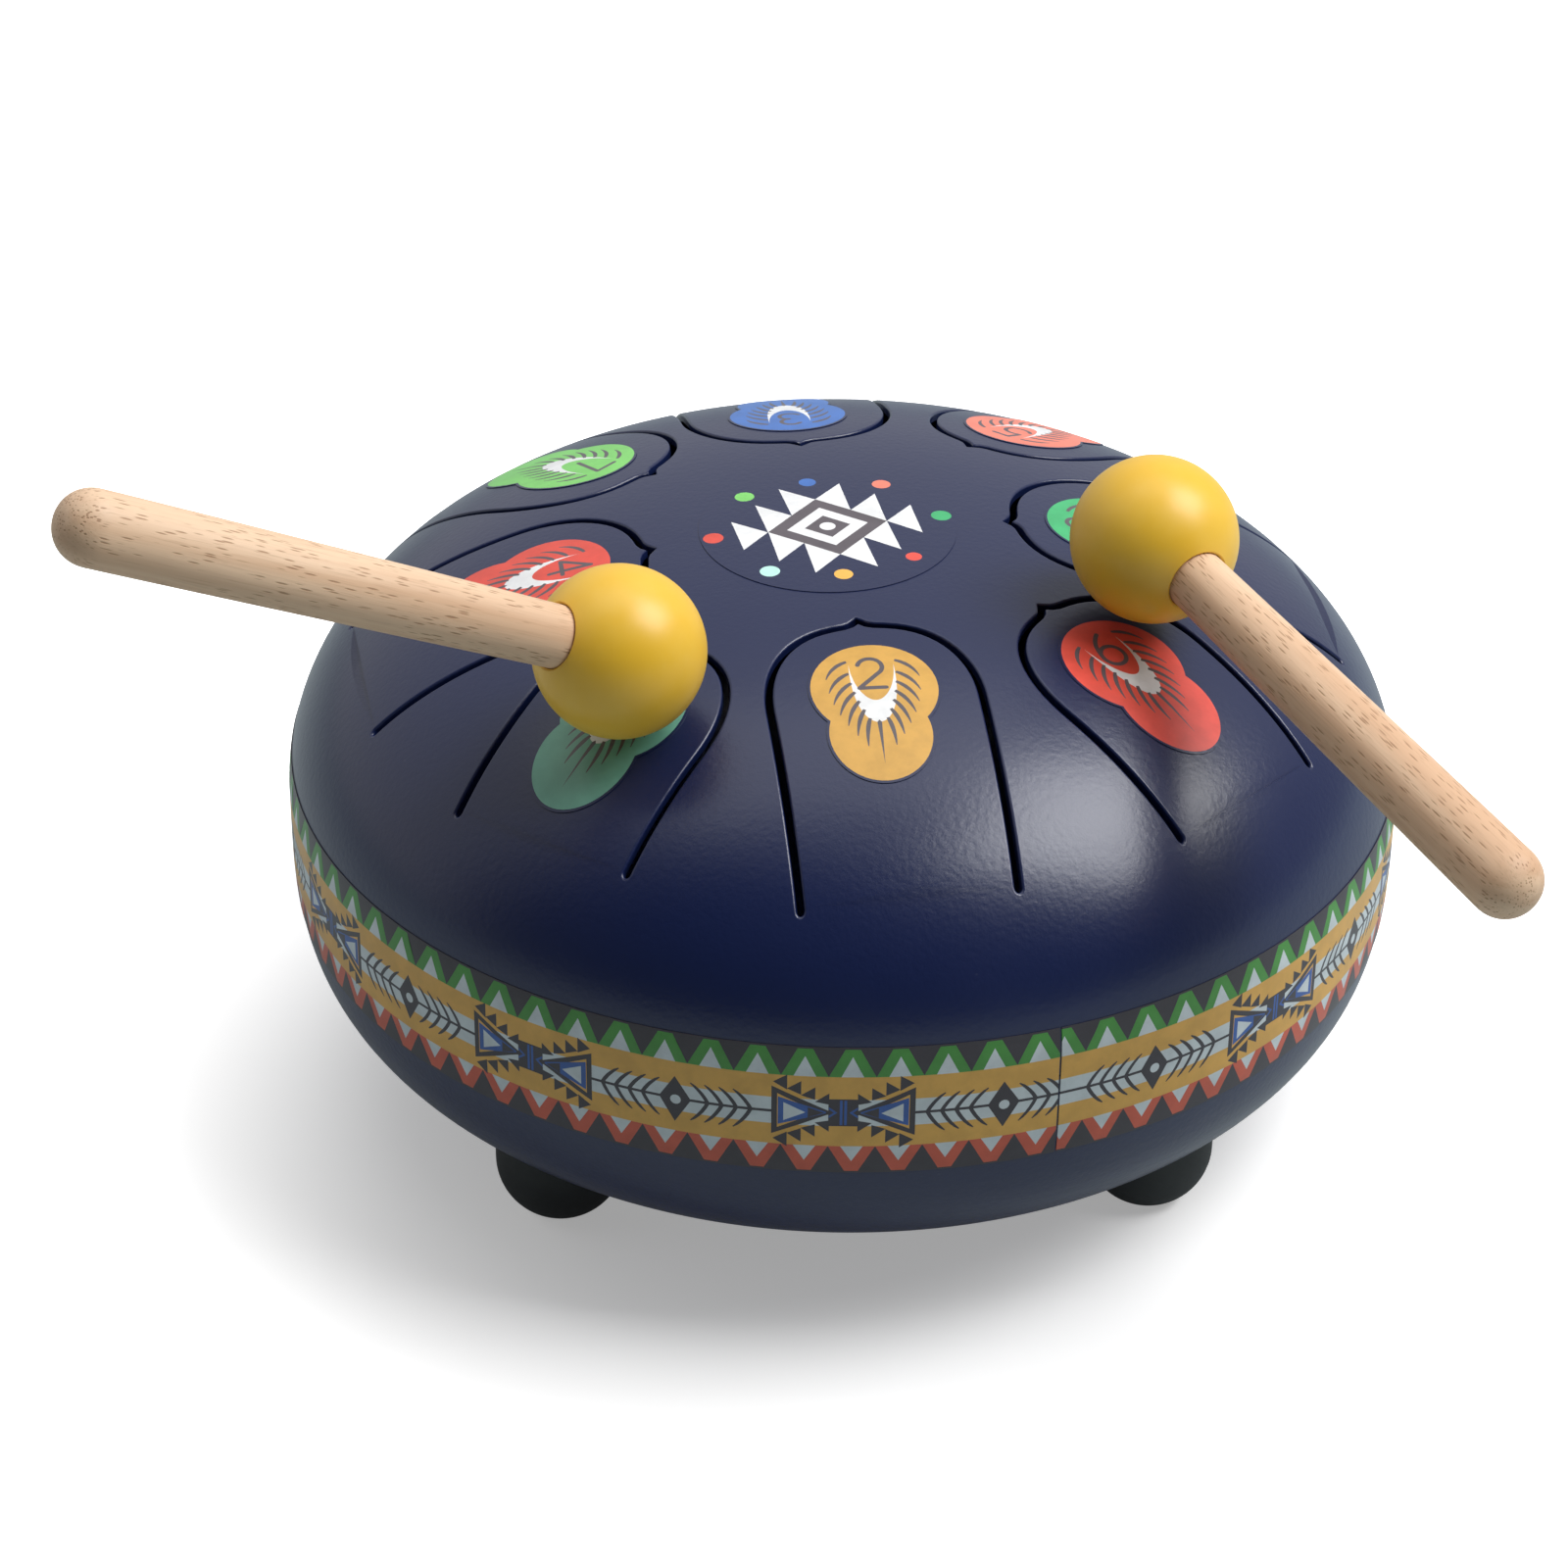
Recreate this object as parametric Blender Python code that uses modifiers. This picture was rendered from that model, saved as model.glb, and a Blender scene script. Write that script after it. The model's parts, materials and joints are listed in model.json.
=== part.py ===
"""Steel tongue drum with two ball mallets.

Two pressed steel shells are welded rim to rim on a backing ring. Eight tongues are cut in the upper
shell, each one free all round but for its outer end. Film stickers lie on the tongues, on the crown and
round the seam, and four rubber feet are screwed under the lower shell. Metres, +Z up. The origin is on
the floor, under the middle of the whole object, mallets included.
"""

import math
from collections import namedtuple

import bmesh
import bpy
from mathutils import Matrix, Vector

MM = 0.001

# Where the drum's own axis stands, and how high its widest part is above the floor
DRUM_X = 3.9 * MM
DRUM_Y = 5.24 * MM
EQUATOR_HEIGHT = 43.0 * MM

# Pressed shells: a short straight wall at the seam, then a superelliptic dome or bowl
SHELL_RADIUS = 77.1 * MM
SHEET = 1.2 * MM
SEAM_GAP = 0.3 * MM
DOME_WALL = 2.5 * MM
DOME_RISE = 37.4 * MM
DOME_SIDE_POWER = 2.65
DOME_CROWN_POWER = 2.0
BOWL_WALL = 2.0 * MM
BOWL_DEPTH = 39.4 * MM
BOWL_SIDE_POWER = 2.55
BOWL_CROWN_POWER = 3.3
SOUND_HOLE_RADIUS = 17.0 * MM
SEGMENTS = 48
DOME_RINGS = 10
BOWL_RINGS = 6

# Backing ring inside the seam
RING_THICKNESS = 1.0 * MM
RING_HEIGHT = 5.0 * MM

# Tongues: the pattern's centre is a little off the shell's axis
PATTERN_CENTRE = Vector((-2.6 * MM, -0.5 * MM))
SLOT_WIDTH = 1.2 * MM
ROOT_CIRCLE_RADIUS = 66.6 * MM
ROOT_GAP = 0.3 * MM
ARCH_LENGTH = 16.0 * MM
ARCH_POWER = 2.5
ARCH_STEPS = 7
NIB_HEIGHT = 1.3 * MM
NIB_HALF_WIDTH = 2.2 * MM
CUT_LOW = 8.0 * MM
CUT_HIGH = 60.0 * MM

# shift is how far a tongue's middle line passes beside the pattern's centre
Tongue = namedtuple("Tongue", "number azimuth tip shift half_width")
TONGUES = (
    Tongue(1, 326.6, 32.8 * MM, 0.0, 13.5 * MM),
    Tongue(2, 9.9, 24.3 * MM, 0.0, 13.9 * MM),
    Tongue(3, 188.8, 26.9 * MM, 0.0, 14.6 * MM),
    Tongue(4, 281.8, 24.3 * MM, 0.0, 14.4 * MM),
    Tongue(5, 145.3, 34.9 * MM, 0.0, 13.2 * MM),
    Tongue(6, 49.5, 33.3 * MM, 5.2 * MM, 13.9 * MM),
    Tongue(7, 233.5, 30.8 * MM, 0.0, 14.9 * MM),
    Tongue(8, 99.2, 24.9 * MM, 0.0, 14.6 * MM),
)

# Stickers
FILM = 0.2 * MM
FILM_GAP = 0.3 * MM
LOBE_DISTANCE = 14.0 * MM
LOBE_SPACING = 8.6 * MM
LARGE_LOBE_RADIUS = 8.3 * MM
SMALL_LOBE_RADIUS = 6.5 * MM
LOBE_STEPS = 8
CENTRE_STICKER_RADIUS = 16.2 * MM
CENTRE_STICKER_STEPS = 32
BAND_TOP = 7.2 * MM
BAND_BOTTOM = -12.1 * MM
BAND_GAP = 0.2 * MM

# Feet and their screws
FOOT_AZIMUTHS = (-41.0, 49.0, 139.0, 229.0)
FOOT_CIRCLE_RADIUS = 57.0 * MM
FOOT_RADIUS = 9.0 * MM
FOOT_FLAT_RADIUS = 4.4 * MM
FOOT_TOP = -27.0 * MM
FOOT_SEGMENTS = 20
FOOT_RINGS = 4
RECESS_RADIUS = 3.0 * MM
RECESS_DEPTH = 2.4 * MM
SHANK_RADIUS = 1.5 * MM
HEAD_RADIUS = 2.6 * MM
HEAD_HEIGHT = 1.5 * MM
SCREW_TOP = -29.0 * MM
SCREW_SEGMENTS = 12
CLEARANCE = 0.3 * MM

# Mallets, posed with the heads just over the dome
BALL_RADIUS = 11.25 * MM
BALL_SEGMENTS = 20
BALL_RINGS = 12
MALLET_LENGTH = 82.0 * MM
STICK_START = 3.0 * MM
STICK_NECK_RADIUS = 4.0 * MM
STICK_END_RADIUS = 4.9 * MM
STICK_SEGMENTS = 16
STICK_END_STEPS = 4
Mallet = namedtuple("Mallet", "side ball_azimuth ball_distance ball_height stick_azimuth stick_rise")
MALLETS = (
    Mallet("left", -32.4, 53.3 * MM, 45.5 * MM, -59.5, 27.3),
    Mallet("right", 66.6, 44.2 * MM, 48.2 * MM, 30.9, -7.4),
)

# Colour, roughness, metallic
NAVY_COAT = ((0.022, 0.032, 0.105, 1.0), 0.35, 0.3)
BARE_STEEL = ((0.35, 0.35, 0.36, 1.0), 0.45, 1.0)
BLACK_RUBBER = ((0.02, 0.022, 0.025, 1.0), 0.75, 0.0)
YELLOW_RUBBER = ((0.90, 0.56, 0.05, 1.0), 0.45, 0.0)
BEECH = ((0.74, 0.54, 0.36, 1.0), 0.55, 0.0)
ZINC = ((0.62, 0.62, 0.60, 1.0), 0.3, 1.0)
BAND_PRINT = ((0.69, 0.38, 0.06, 1.0), 0.4, 0.0)
CENTRE_PRINT = ((0.75, 0.75, 0.78, 1.0), 0.4, 0.0)
STICKER_COLOURS = {
    1: (0.16, 0.42, 0.31, 1.0),
    2: (0.69, 0.38, 0.06, 1.0),
    3: (0.05, 0.17, 0.53, 1.0),
    4: (0.76, 0.08, 0.06, 1.0),
    5: (0.86, 0.23, 0.16, 1.0),
    6: (0.80, 0.09, 0.06, 1.0),
    7: (0.21, 0.65, 0.14, 1.0),
    8: (0.05, 0.45, 0.17, 1.0),
}
STICKER_ROUGHNESS = 0.4


def clear_scene():
    for item in list(bpy.data.objects):
        bpy.data.objects.remove(item, do_unlink=True)


def new_collection(name):
    collection = bpy.data.collections.new(name)
    bpy.context.scene.collection.children.link(collection)
    return collection


clear_scene()
PARTS = new_collection("tongue_drum")


def principled(name, colour, roughness, metallic):
    material = bpy.data.materials.new(name)
    material.use_nodes = True
    shader = material.node_tree.nodes["Principled BSDF"]
    shader.inputs["Base Color"].default_value = colour
    shader.inputs["Roughness"].default_value = roughness
    shader.inputs["Metallic"].default_value = metallic
    material.diffuse_color = colour
    return material


def new_object(name, data):
    item = bpy.data.objects.new(name, data)
    PARTS.objects.link(item)
    return item


def apply_modifiers(item):
    """Give the object the mesh that its modifiers make, and take the modifiers off."""
    bpy.context.view_layer.update()
    evaluated = item.evaluated_get(bpy.context.evaluated_depsgraph_get())
    mesh = bpy.data.meshes.new_from_object(evaluated)
    item.modifiers.clear()
    item.data = mesh


def turned(name, profile, segments, thickness=0.0, closed=False):
    """Turn a profile of (radius, height) points round Z; a thickness makes an open one a wall."""
    count = len(profile)
    mesh = bpy.data.meshes.new(name)
    edges = [(index, index + 1) for index in range(count - 1)]
    if closed:
        edges.append((count - 1, 0))
    mesh.from_pydata([(radius, 0.0, height) for radius, height in profile], edges, [])
    item = new_object(name, mesh)
    screw = item.modifiers.new("turn", "SCREW")
    screw.axis = "Z"
    screw.steps = segments
    screw.render_steps = segments
    screw.use_merge_vertices = True
    screw.merge_threshold = 0.00001
    screw.use_smooth_shade = True
    if thickness:
        wall = item.modifiers.new("wall", "SOLIDIFY")
        wall.thickness = thickness
        wall.offset = -1.0
        wall.use_even_offset = True
    apply_modifiers(item)
    return item


def outline_prism(name, points, low, high):
    """A flat closed outline, stood up between two heights as a mesh."""
    curve = bpy.data.curves.new(name, "CURVE")
    curve.dimensions = "2D"
    curve.fill_mode = "BOTH"
    curve.extrude = (high - low) / 2
    spline = curve.splines.new("POLY")
    spline.points.add(len(points) - 1)
    for point, place in zip(spline.points, points):
        point.co = (place[0], place[1], 0.0, 1.0)
    spline.use_cyclic_u = True
    item = new_object(name, curve)
    item.location.z = (high + low) / 2
    bpy.context.view_layer.update()
    evaluated = item.evaluated_get(bpy.context.evaluated_depsgraph_get())
    mesh = bpy.data.meshes.new_from_object(evaluated)
    mesh.transform(item.matrix_world)
    bpy.data.objects.remove(item, do_unlink=True)
    shape = bmesh.new()
    shape.from_mesh(mesh)
    bmesh.ops.remove_doubles(shape, verts=shape.verts, dist=0.000001)
    bmesh.ops.recalc_face_normals(shape, faces=shape.faces)
    shape.to_mesh(mesh)
    shape.free()
    return new_object(name, mesh)


def rod(name, radius, low, high, segments, x=0.0, y=0.0):
    """A plain upright cylinder."""
    mesh = bpy.data.meshes.new(name)
    shape = bmesh.new()
    centre = Matrix.Translation((x, y, (low + high) / 2))
    bmesh.ops.create_cone(
        shape, cap_ends=True, segments=segments, radius1=radius, radius2=radius,
        depth=high - low, matrix=centre)
    shape.to_mesh(mesh)
    shape.free()
    return new_object(name, mesh)


def combine(item, tool, operation):
    """Cut the object with a tool, or keep only what they share. The tool is used up."""
    modifier = item.modifiers.new("combine", "BOOLEAN")
    modifier.operation = operation
    modifier.solver = "EXACT"
    modifier.object = tool
    apply_modifiers(item)
    bpy.data.objects.remove(tool, do_unlink=True)


def copy_of(item, name):
    return new_object(name, item.data.copy())


def finish(item, material, parent, smooth_angle=35.0):
    """Dress a part, shade it, and hang it on its parent."""
    item.data.materials.clear()
    item.data.materials.append(material)
    item.data.shade_smooth()
    item.data.set_sharp_from_angle(angle=math.radians(smooth_angle))
    item.parent = parent


def empty_at(name, location, parent=None):
    item = bpy.data.objects.new(name, None)
    PARTS.objects.link(item)
    item.location = location
    item.parent = parent
    return item


def outward(azimuth_degrees):
    """Unit vector away from the drum's axis; azimuth 0 is the front, -Y, and 90 is +X."""
    angle = math.radians(azimuth_degrees)
    return Vector((math.sin(angle), -math.cos(angle)))


def sideways(azimuth_degrees):
    """Unit vector across an azimuth, towards a larger one."""
    angle = math.radians(azimuth_degrees)
    return Vector((math.cos(angle), math.sin(angle)))


def dome_height(radius):
    share = (radius / SHELL_RADIUS) ** DOME_SIDE_POWER
    return DOME_WALL + DOME_RISE * (1 - share) ** (1 / DOME_CROWN_POWER)


def dome_point(angle, offset):
    """A point of the dome's meridian, moved out along its normal. Angle 0 is the crown."""
    radius = SHELL_RADIUS * math.sin(angle) ** (2 / DOME_SIDE_POWER)
    height = DOME_RISE * math.cos(angle) ** (2 / DOME_CROWN_POWER)
    lean_out = (radius / SHELL_RADIUS) ** (DOME_SIDE_POWER - 1) / SHELL_RADIUS * DOME_SIDE_POWER
    lean_up = (height / DOME_RISE) ** (DOME_CROWN_POWER - 1) / DOME_RISE * DOME_CROWN_POWER
    normal = Vector((lean_out, lean_up)).normalized()
    return (radius + offset * normal.x, DOME_WALL + height + offset * normal.y)


def dome_profile(offset=0.0):
    """The upper shell's outside, from the crown down to the seam."""
    angles = [0.5 * math.pi * step / DOME_RINGS for step in range(DOME_RINGS)]
    profile = [dome_point(angle, offset) for angle in angles]
    profile.append((SHELL_RADIUS + offset, DOME_WALL))
    profile.append((SHELL_RADIUS + offset, SEAM_GAP / 2))
    return profile


def bowl_point(angle, offset):
    """A point of the bowl's meridian, moved out along its normal. Angle 0 is the bottom."""
    radius = SHELL_RADIUS * math.sin(angle) ** (2 / BOWL_SIDE_POWER)
    depth = BOWL_DEPTH * math.cos(angle) ** (2 / BOWL_CROWN_POWER)
    lean_out = (radius / SHELL_RADIUS) ** (BOWL_SIDE_POWER - 1) / SHELL_RADIUS * BOWL_SIDE_POWER
    lean_down = (depth / BOWL_DEPTH) ** (BOWL_CROWN_POWER - 1) / BOWL_DEPTH * BOWL_CROWN_POWER
    normal = Vector((lean_out, lean_down)).normalized()
    return (radius + offset * normal.x, -BOWL_WALL - depth - offset * normal.y)


def bowl_profile(offset=0.0):
    """The lower shell's outside, from the seam down and in to the sound hole."""
    last = math.asin((SOUND_HOLE_RADIUS / SHELL_RADIUS) ** (BOWL_SIDE_POWER / 2))
    profile = [(SHELL_RADIUS + offset, -SEAM_GAP / 2), (SHELL_RADIUS + offset, -BOWL_WALL)]
    for step in range(1, BOWL_RINGS + 1):
        angle = 0.5 * math.pi + (last - 0.5 * math.pi) * step / BOWL_RINGS
        profile.append(bowl_point(angle, offset))
    return profile


def root_distance(tongue):
    """How far a tongue's root lies from the pattern's centre, along the tongue."""
    start = on_tongue(tongue, 0.0, 0.0)
    along = start.dot(outward(tongue.azimuth))
    rest = along ** 2 - start.length_squared + ROOT_CIRCLE_RADIUS ** 2
    return math.sqrt(rest) - along


def on_tongue(tongue, along, across):
    """Drum x and y of a place that is given in a tongue's own directions."""
    side = sideways(tongue.azimuth) * (tongue.shift + across)
    return PATTERN_CENTRE + outward(tongue.azimuth) * along + side


def tongue_outline(tongue, inset, root):
    """Closed outline inside the slot's middle line by inset: a pointed arch on two straight legs."""
    half = tongue.half_width - inset
    tip = tongue.tip + inset
    arch = tongue.tip + ARCH_LENGTH - tip - NIB_HEIGHT
    widths = [NIB_HALF_WIDTH * step / 3 for step in range(4)]
    for step in range(1, ARCH_STEPS + 1):
        width = half * math.sin(0.5 * math.pi * step / ARCH_STEPS) ** (2 / ARCH_POWER)
        if width > NIB_HALF_WIDTH + SLOT_WIDTH:
            widths.append(width)
    side = []
    for width in widths:
        fall = 1 - math.sqrt(max(0.0, 1 - (width / half) ** ARCH_POWER))
        nib = max(0.0, 1 - width / NIB_HALF_WIDTH) ** 1.6
        side.append((tip + NIB_HEIGHT * (1 - nib) + arch * fall, width))
    side.append((root, half))
    left = [on_tongue(tongue, along, -across) for along, across in reversed(side)]
    right = [on_tongue(tongue, along, across) for along, across in side[1:]]
    return left + right


def lobe_outline(tongue):
    """Two overlapping discs, the larger one nearer the drum's centre, as one outline."""
    large = tongue.tip + LOBE_DISTANCE
    small = large + LOBE_SPACING
    difference = LARGE_LOBE_RADIUS ** 2 - SMALL_LOBE_RADIUS ** 2
    waist = (LOBE_SPACING ** 2 + difference) / (2 * LOBE_SPACING)
    large_angle = math.acos(waist / LARGE_LOBE_RADIUS)
    small_angle = math.acos((waist - LOBE_SPACING) / SMALL_LOBE_RADIUS)
    points = []
    for step in range(2 * LOBE_STEPS + 1):
        angle = large_angle + (2 * math.pi - 2 * large_angle) * step / (2 * LOBE_STEPS)
        along = large + LARGE_LOBE_RADIUS * math.cos(angle)
        points.append(on_tongue(tongue, along, LARGE_LOBE_RADIUS * math.sin(angle)))
    for step in range(1, 2 * LOBE_STEPS):
        angle = -small_angle + 2 * small_angle * step / (2 * LOBE_STEPS)
        along = small + SMALL_LOBE_RADIUS * math.cos(angle)
        points.append(on_tongue(tongue, along, SMALL_LOBE_RADIUS * math.sin(angle)))
    return points


def make_dome():
    return turned("upper_shell", dome_profile(), SEGMENTS, SHEET)


def make_film():
    """The layer over the dome that the stickers are cut from."""
    return turned("film", dome_profile(FILM_GAP + FILM), SEGMENTS, FILM)


def make_tongue(tongue, dome, film, drum):
    """One tongue with its sticker, hung on an empty that sits on the tongue's bending line."""
    root = root_distance(tongue)
    height = dome_height(ROOT_CIRCLE_RADIUS) - SHEET / 2
    place = on_tongue(tongue, root, 0.0)
    hinge = empty_at(f"tongue_{tongue.number}_hinge", (place.x, place.y, height), drum)

    name = f"tongue_{tongue.number}"
    outline = tongue_outline(tongue, SLOT_WIDTH / 2, root - ROOT_GAP / 2)
    plate = copy_of(dome, name)
    combine(plate, outline_prism("plate_tool", outline, CUT_LOW, CUT_HIGH), "INTERSECT")
    plate.data.transform(Matrix.Translation(-hinge.location))
    finish(plate, NAVY, hinge)

    name = f"tongue_sticker_{tongue.number}"
    sticker = copy_of(film, name)
    lobes = outline_prism("sticker_tool", lobe_outline(tongue), CUT_LOW, CUT_HIGH)
    combine(sticker, lobes, "INTERSECT")
    sticker.data.transform(Matrix.Translation(-hinge.location))
    colour = STICKER_COLOURS[tongue.number]
    finish(sticker, principled(f"{name}_film", colour, STICKER_ROUGHNESS, 0.0), hinge)


def open_slots(dome):
    """Cut the eight tongue-shaped openings in the upper shell."""
    for tongue in TONGUES:
        root = root_distance(tongue) + ROOT_GAP / 2
        outline = tongue_outline(tongue, -SLOT_WIDTH / 2, root)
        combine(dome, outline_prism("slot_tool", outline, CUT_LOW, CUT_HIGH), "DIFFERENCE")


def make_centre_sticker(film, drum):
    points = []
    for step in range(CENTRE_STICKER_STEPS):
        angle = 360 * step / CENTRE_STICKER_STEPS
        points.append(PATTERN_CENTRE + outward(angle) * CENTRE_STICKER_RADIUS)
    sticker = copy_of(film, "centre_sticker")
    combine(sticker, outline_prism("sticker_tool", points, CUT_LOW, CUT_HIGH), "INTERSECT")
    finish(sticker, principled("centre_film", *CENTRE_PRINT), drum)


def wall_radius(height, offset):
    """Outside radius of the shells near the seam, moved out by an offset."""
    if height > DOME_WALL:
        share = ((height - DOME_WALL) / DOME_RISE) ** DOME_CROWN_POWER
        return SHELL_RADIUS * (1 - share) ** (1 / DOME_SIDE_POWER) + offset
    if height < -BOWL_WALL:
        share = ((-height - BOWL_WALL) / BOWL_DEPTH) ** BOWL_CROWN_POWER
        return SHELL_RADIUS * (1 - share) ** (1 / BOWL_SIDE_POWER) + offset
    return SHELL_RADIUS + offset


def make_band_sticker(drum):
    heights = (BAND_TOP, DOME_WALL, -BOWL_WALL, 0.6 * BAND_BOTTOM, BAND_BOTTOM)
    profile = [(wall_radius(height, BAND_GAP + FILM), height) for height in heights]
    sticker = turned("band_sticker", profile, SEGMENTS, FILM)
    finish(sticker, principled("band_film", *BAND_PRINT), drum)


def make_rim_ring(drum):
    outer = SHELL_RADIUS - SHEET - CLEARANCE
    inner = outer - RING_THICKNESS
    top = RING_HEIGHT / 2
    profile = [(outer, top), (outer, -top), (inner, -top), (inner, top)]
    ring = turned("rim_ring", profile, SEGMENTS, closed=True)
    finish(ring, principled("bare_steel", *BARE_STEEL), drum)


def foot_place(azimuth):
    return outward(azimuth) * FOOT_CIRCLE_RADIUS


def make_lower_shell(drum):
    shell = turned("lower_shell", bowl_profile(), SEGMENTS, SHEET)
    for azimuth in FOOT_AZIMUTHS:
        place = foot_place(azimuth)
        hole = rod("hole", SHANK_RADIUS + CLEARANCE, -EQUATOR_HEIGHT, 0.0, SCREW_SEGMENTS, *place)
        combine(shell, hole, "DIFFERENCE")
    finish(shell, NAVY, drum)


def make_foot(number, azimuth, drum):
    """A domed rubber foot, flat where it stands, shaped to the bowl above, with a screw recess."""
    place = foot_place(azimuth)
    middle = math.sqrt(FOOT_RADIUS ** 2 - FOOT_FLAT_RADIUS ** 2) - EQUATOR_HEIGHT
    last = math.acos(FOOT_FLAT_RADIUS / FOOT_RADIUS)
    profile = [(0.0, FOOT_TOP), (FOOT_RADIUS, FOOT_TOP)]
    for step in range(FOOT_RINGS + 1):
        angle = last * step / FOOT_RINGS
        height = middle - FOOT_RADIUS * math.sin(angle)
        profile.append((FOOT_RADIUS * math.cos(angle), height))
    profile.append((0.0, -EQUATOR_HEIGHT))
    foot = turned(f"foot_{number}", profile, FOOT_SEGMENTS)
    foot.data.transform(Matrix.Translation((place.x, place.y, 0.0)))

    bowl = [(0.0, 0.0), (SHELL_RADIUS + CLEARANCE, 0.0)] + bowl_profile(CLEARANCE)[1:]
    bowl.append((0.0, bowl[-1][1]))
    combine(foot, turned("bowl_tool", bowl, SEGMENTS), "DIFFERENCE")
    floor = -EQUATOR_HEIGHT - CLEARANCE
    roof = RECESS_DEPTH - EQUATOR_HEIGHT
    recess = rod("recess_tool", RECESS_RADIUS, floor, roof, SCREW_SEGMENTS, *place)
    combine(foot, recess, "DIFFERENCE")
    bore = rod("bore_tool", SHANK_RADIUS + CLEARANCE, floor, FOOT_TOP, SCREW_SEGMENTS, *place)
    combine(foot, bore, "DIFFERENCE")
    finish(foot, RUBBER, drum)


def make_foot_screw(number, azimuth, drum):
    place = foot_place(azimuth)
    seat = RECESS_DEPTH - EQUATOR_HEIGHT - CLEARANCE
    bottom = seat - HEAD_HEIGHT
    profile = [
        (0.0, SCREW_TOP),
        (SHANK_RADIUS, SCREW_TOP - SHANK_RADIUS),
        (SHANK_RADIUS, seat),
        (HEAD_RADIUS, seat),
        (HEAD_RADIUS, bottom + HEAD_HEIGHT / 2),
        (HEAD_RADIUS / 2, bottom),
        (0.0, bottom),
    ]
    screw = turned(f"foot_screw_{number}", profile, SCREW_SEGMENTS)
    screw.data.transform(Matrix.Translation((place.x, place.y, 0.0)))
    finish(screw, SCREW_ZINC, drum)


def stick_profile():
    """From the rounded outer end back to the flat inner end, along the stick's own Z."""
    end_centre = MALLET_LENGTH - STICK_END_RADIUS
    profile = []
    for step in range(STICK_END_STEPS + 1):
        angle = 0.5 * math.pi * step / STICK_END_STEPS
        height = end_centre + STICK_END_RADIUS * math.cos(angle)
        profile.append((STICK_END_RADIUS * math.sin(angle), height))
    profile.append((STICK_NECK_RADIUS, BALL_RADIUS))
    profile.append((STICK_NECK_RADIUS, STICK_START))
    profile.append((0.0, STICK_START))
    return profile


def make_mallet(mallet, drum):
    """A ball head on a tapered stick, hung on an empty at the ball's centre."""
    place = outward(mallet.ball_azimuth) * mallet.ball_distance
    rise = math.radians(mallet.stick_rise)
    level = outward(mallet.stick_azimuth) * math.cos(rise)
    direction = Vector((level.x, level.y, math.sin(rise)))
    hold = empty_at(f"mallet_{mallet.side}_lift", (place.x, place.y, mallet.ball_height), drum)
    hold.rotation_mode = "QUATERNION"
    hold.rotation_quaternion = direction.to_track_quat("Z", "Y")

    mesh = bpy.data.meshes.new(f"mallet_{mallet.side}_head")
    shape = bmesh.new()
    bmesh.ops.create_uvsphere(
        shape, u_segments=BALL_SEGMENTS, v_segments=BALL_RINGS, radius=BALL_RADIUS)
    shape.to_mesh(mesh)
    shape.free()
    head = new_object(f"mallet_{mallet.side}_head", mesh)
    bore_start = STICK_START - CLEARANCE
    bore_radius = STICK_NECK_RADIUS + CLEARANCE
    bore = rod("bore_tool", bore_radius, bore_start, 2 * BALL_RADIUS, STICK_SEGMENTS)
    combine(head, bore, "DIFFERENCE")
    finish(head, BALL_RUBBER, hold)

    stick = turned(f"mallet_{mallet.side}_stick", stick_profile(), STICK_SEGMENTS)
    finish(stick, STICK_BEECH, hold)


NAVY = principled("navy_coat", *NAVY_COAT)
RUBBER = principled("black_rubber", *BLACK_RUBBER)
BALL_RUBBER = principled("yellow_rubber", *YELLOW_RUBBER)
STICK_BEECH = principled("beech", *BEECH)
SCREW_ZINC = principled("zinc", *ZINC)


def main():
    drum = empty_at("drum_axis", (DRUM_X, DRUM_Y, EQUATOR_HEIGHT))
    upper_shell = make_dome()
    film = make_film()
    for tongue in TONGUES:
        make_tongue(tongue, upper_shell, film, drum)
    make_centre_sticker(film, drum)
    bpy.data.objects.remove(film, do_unlink=True)
    open_slots(upper_shell)
    finish(upper_shell, NAVY, drum)

    make_rim_ring(drum)
    make_band_sticker(drum)
    make_lower_shell(drum)
    for number, azimuth in enumerate(FOOT_AZIMUTHS, start=1):
        make_foot(number, azimuth, drum)
        make_foot_screw(number, azimuth, drum)
    for mallet in MALLETS:
        make_mallet(mallet, drum)


main()
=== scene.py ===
"""Looks of a small steel tongue drum with two ball mallets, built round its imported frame."""

import json
import logging
import math
from dataclasses import dataclass
from enum import Enum
from typing import Callable, Sequence, Union

import bpy
import numpy as np
from mathutils import Matrix, Vector
from mathutils.geometry import delaunay_2d_cdt
from mathutils.kdtree import KDTree


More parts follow.
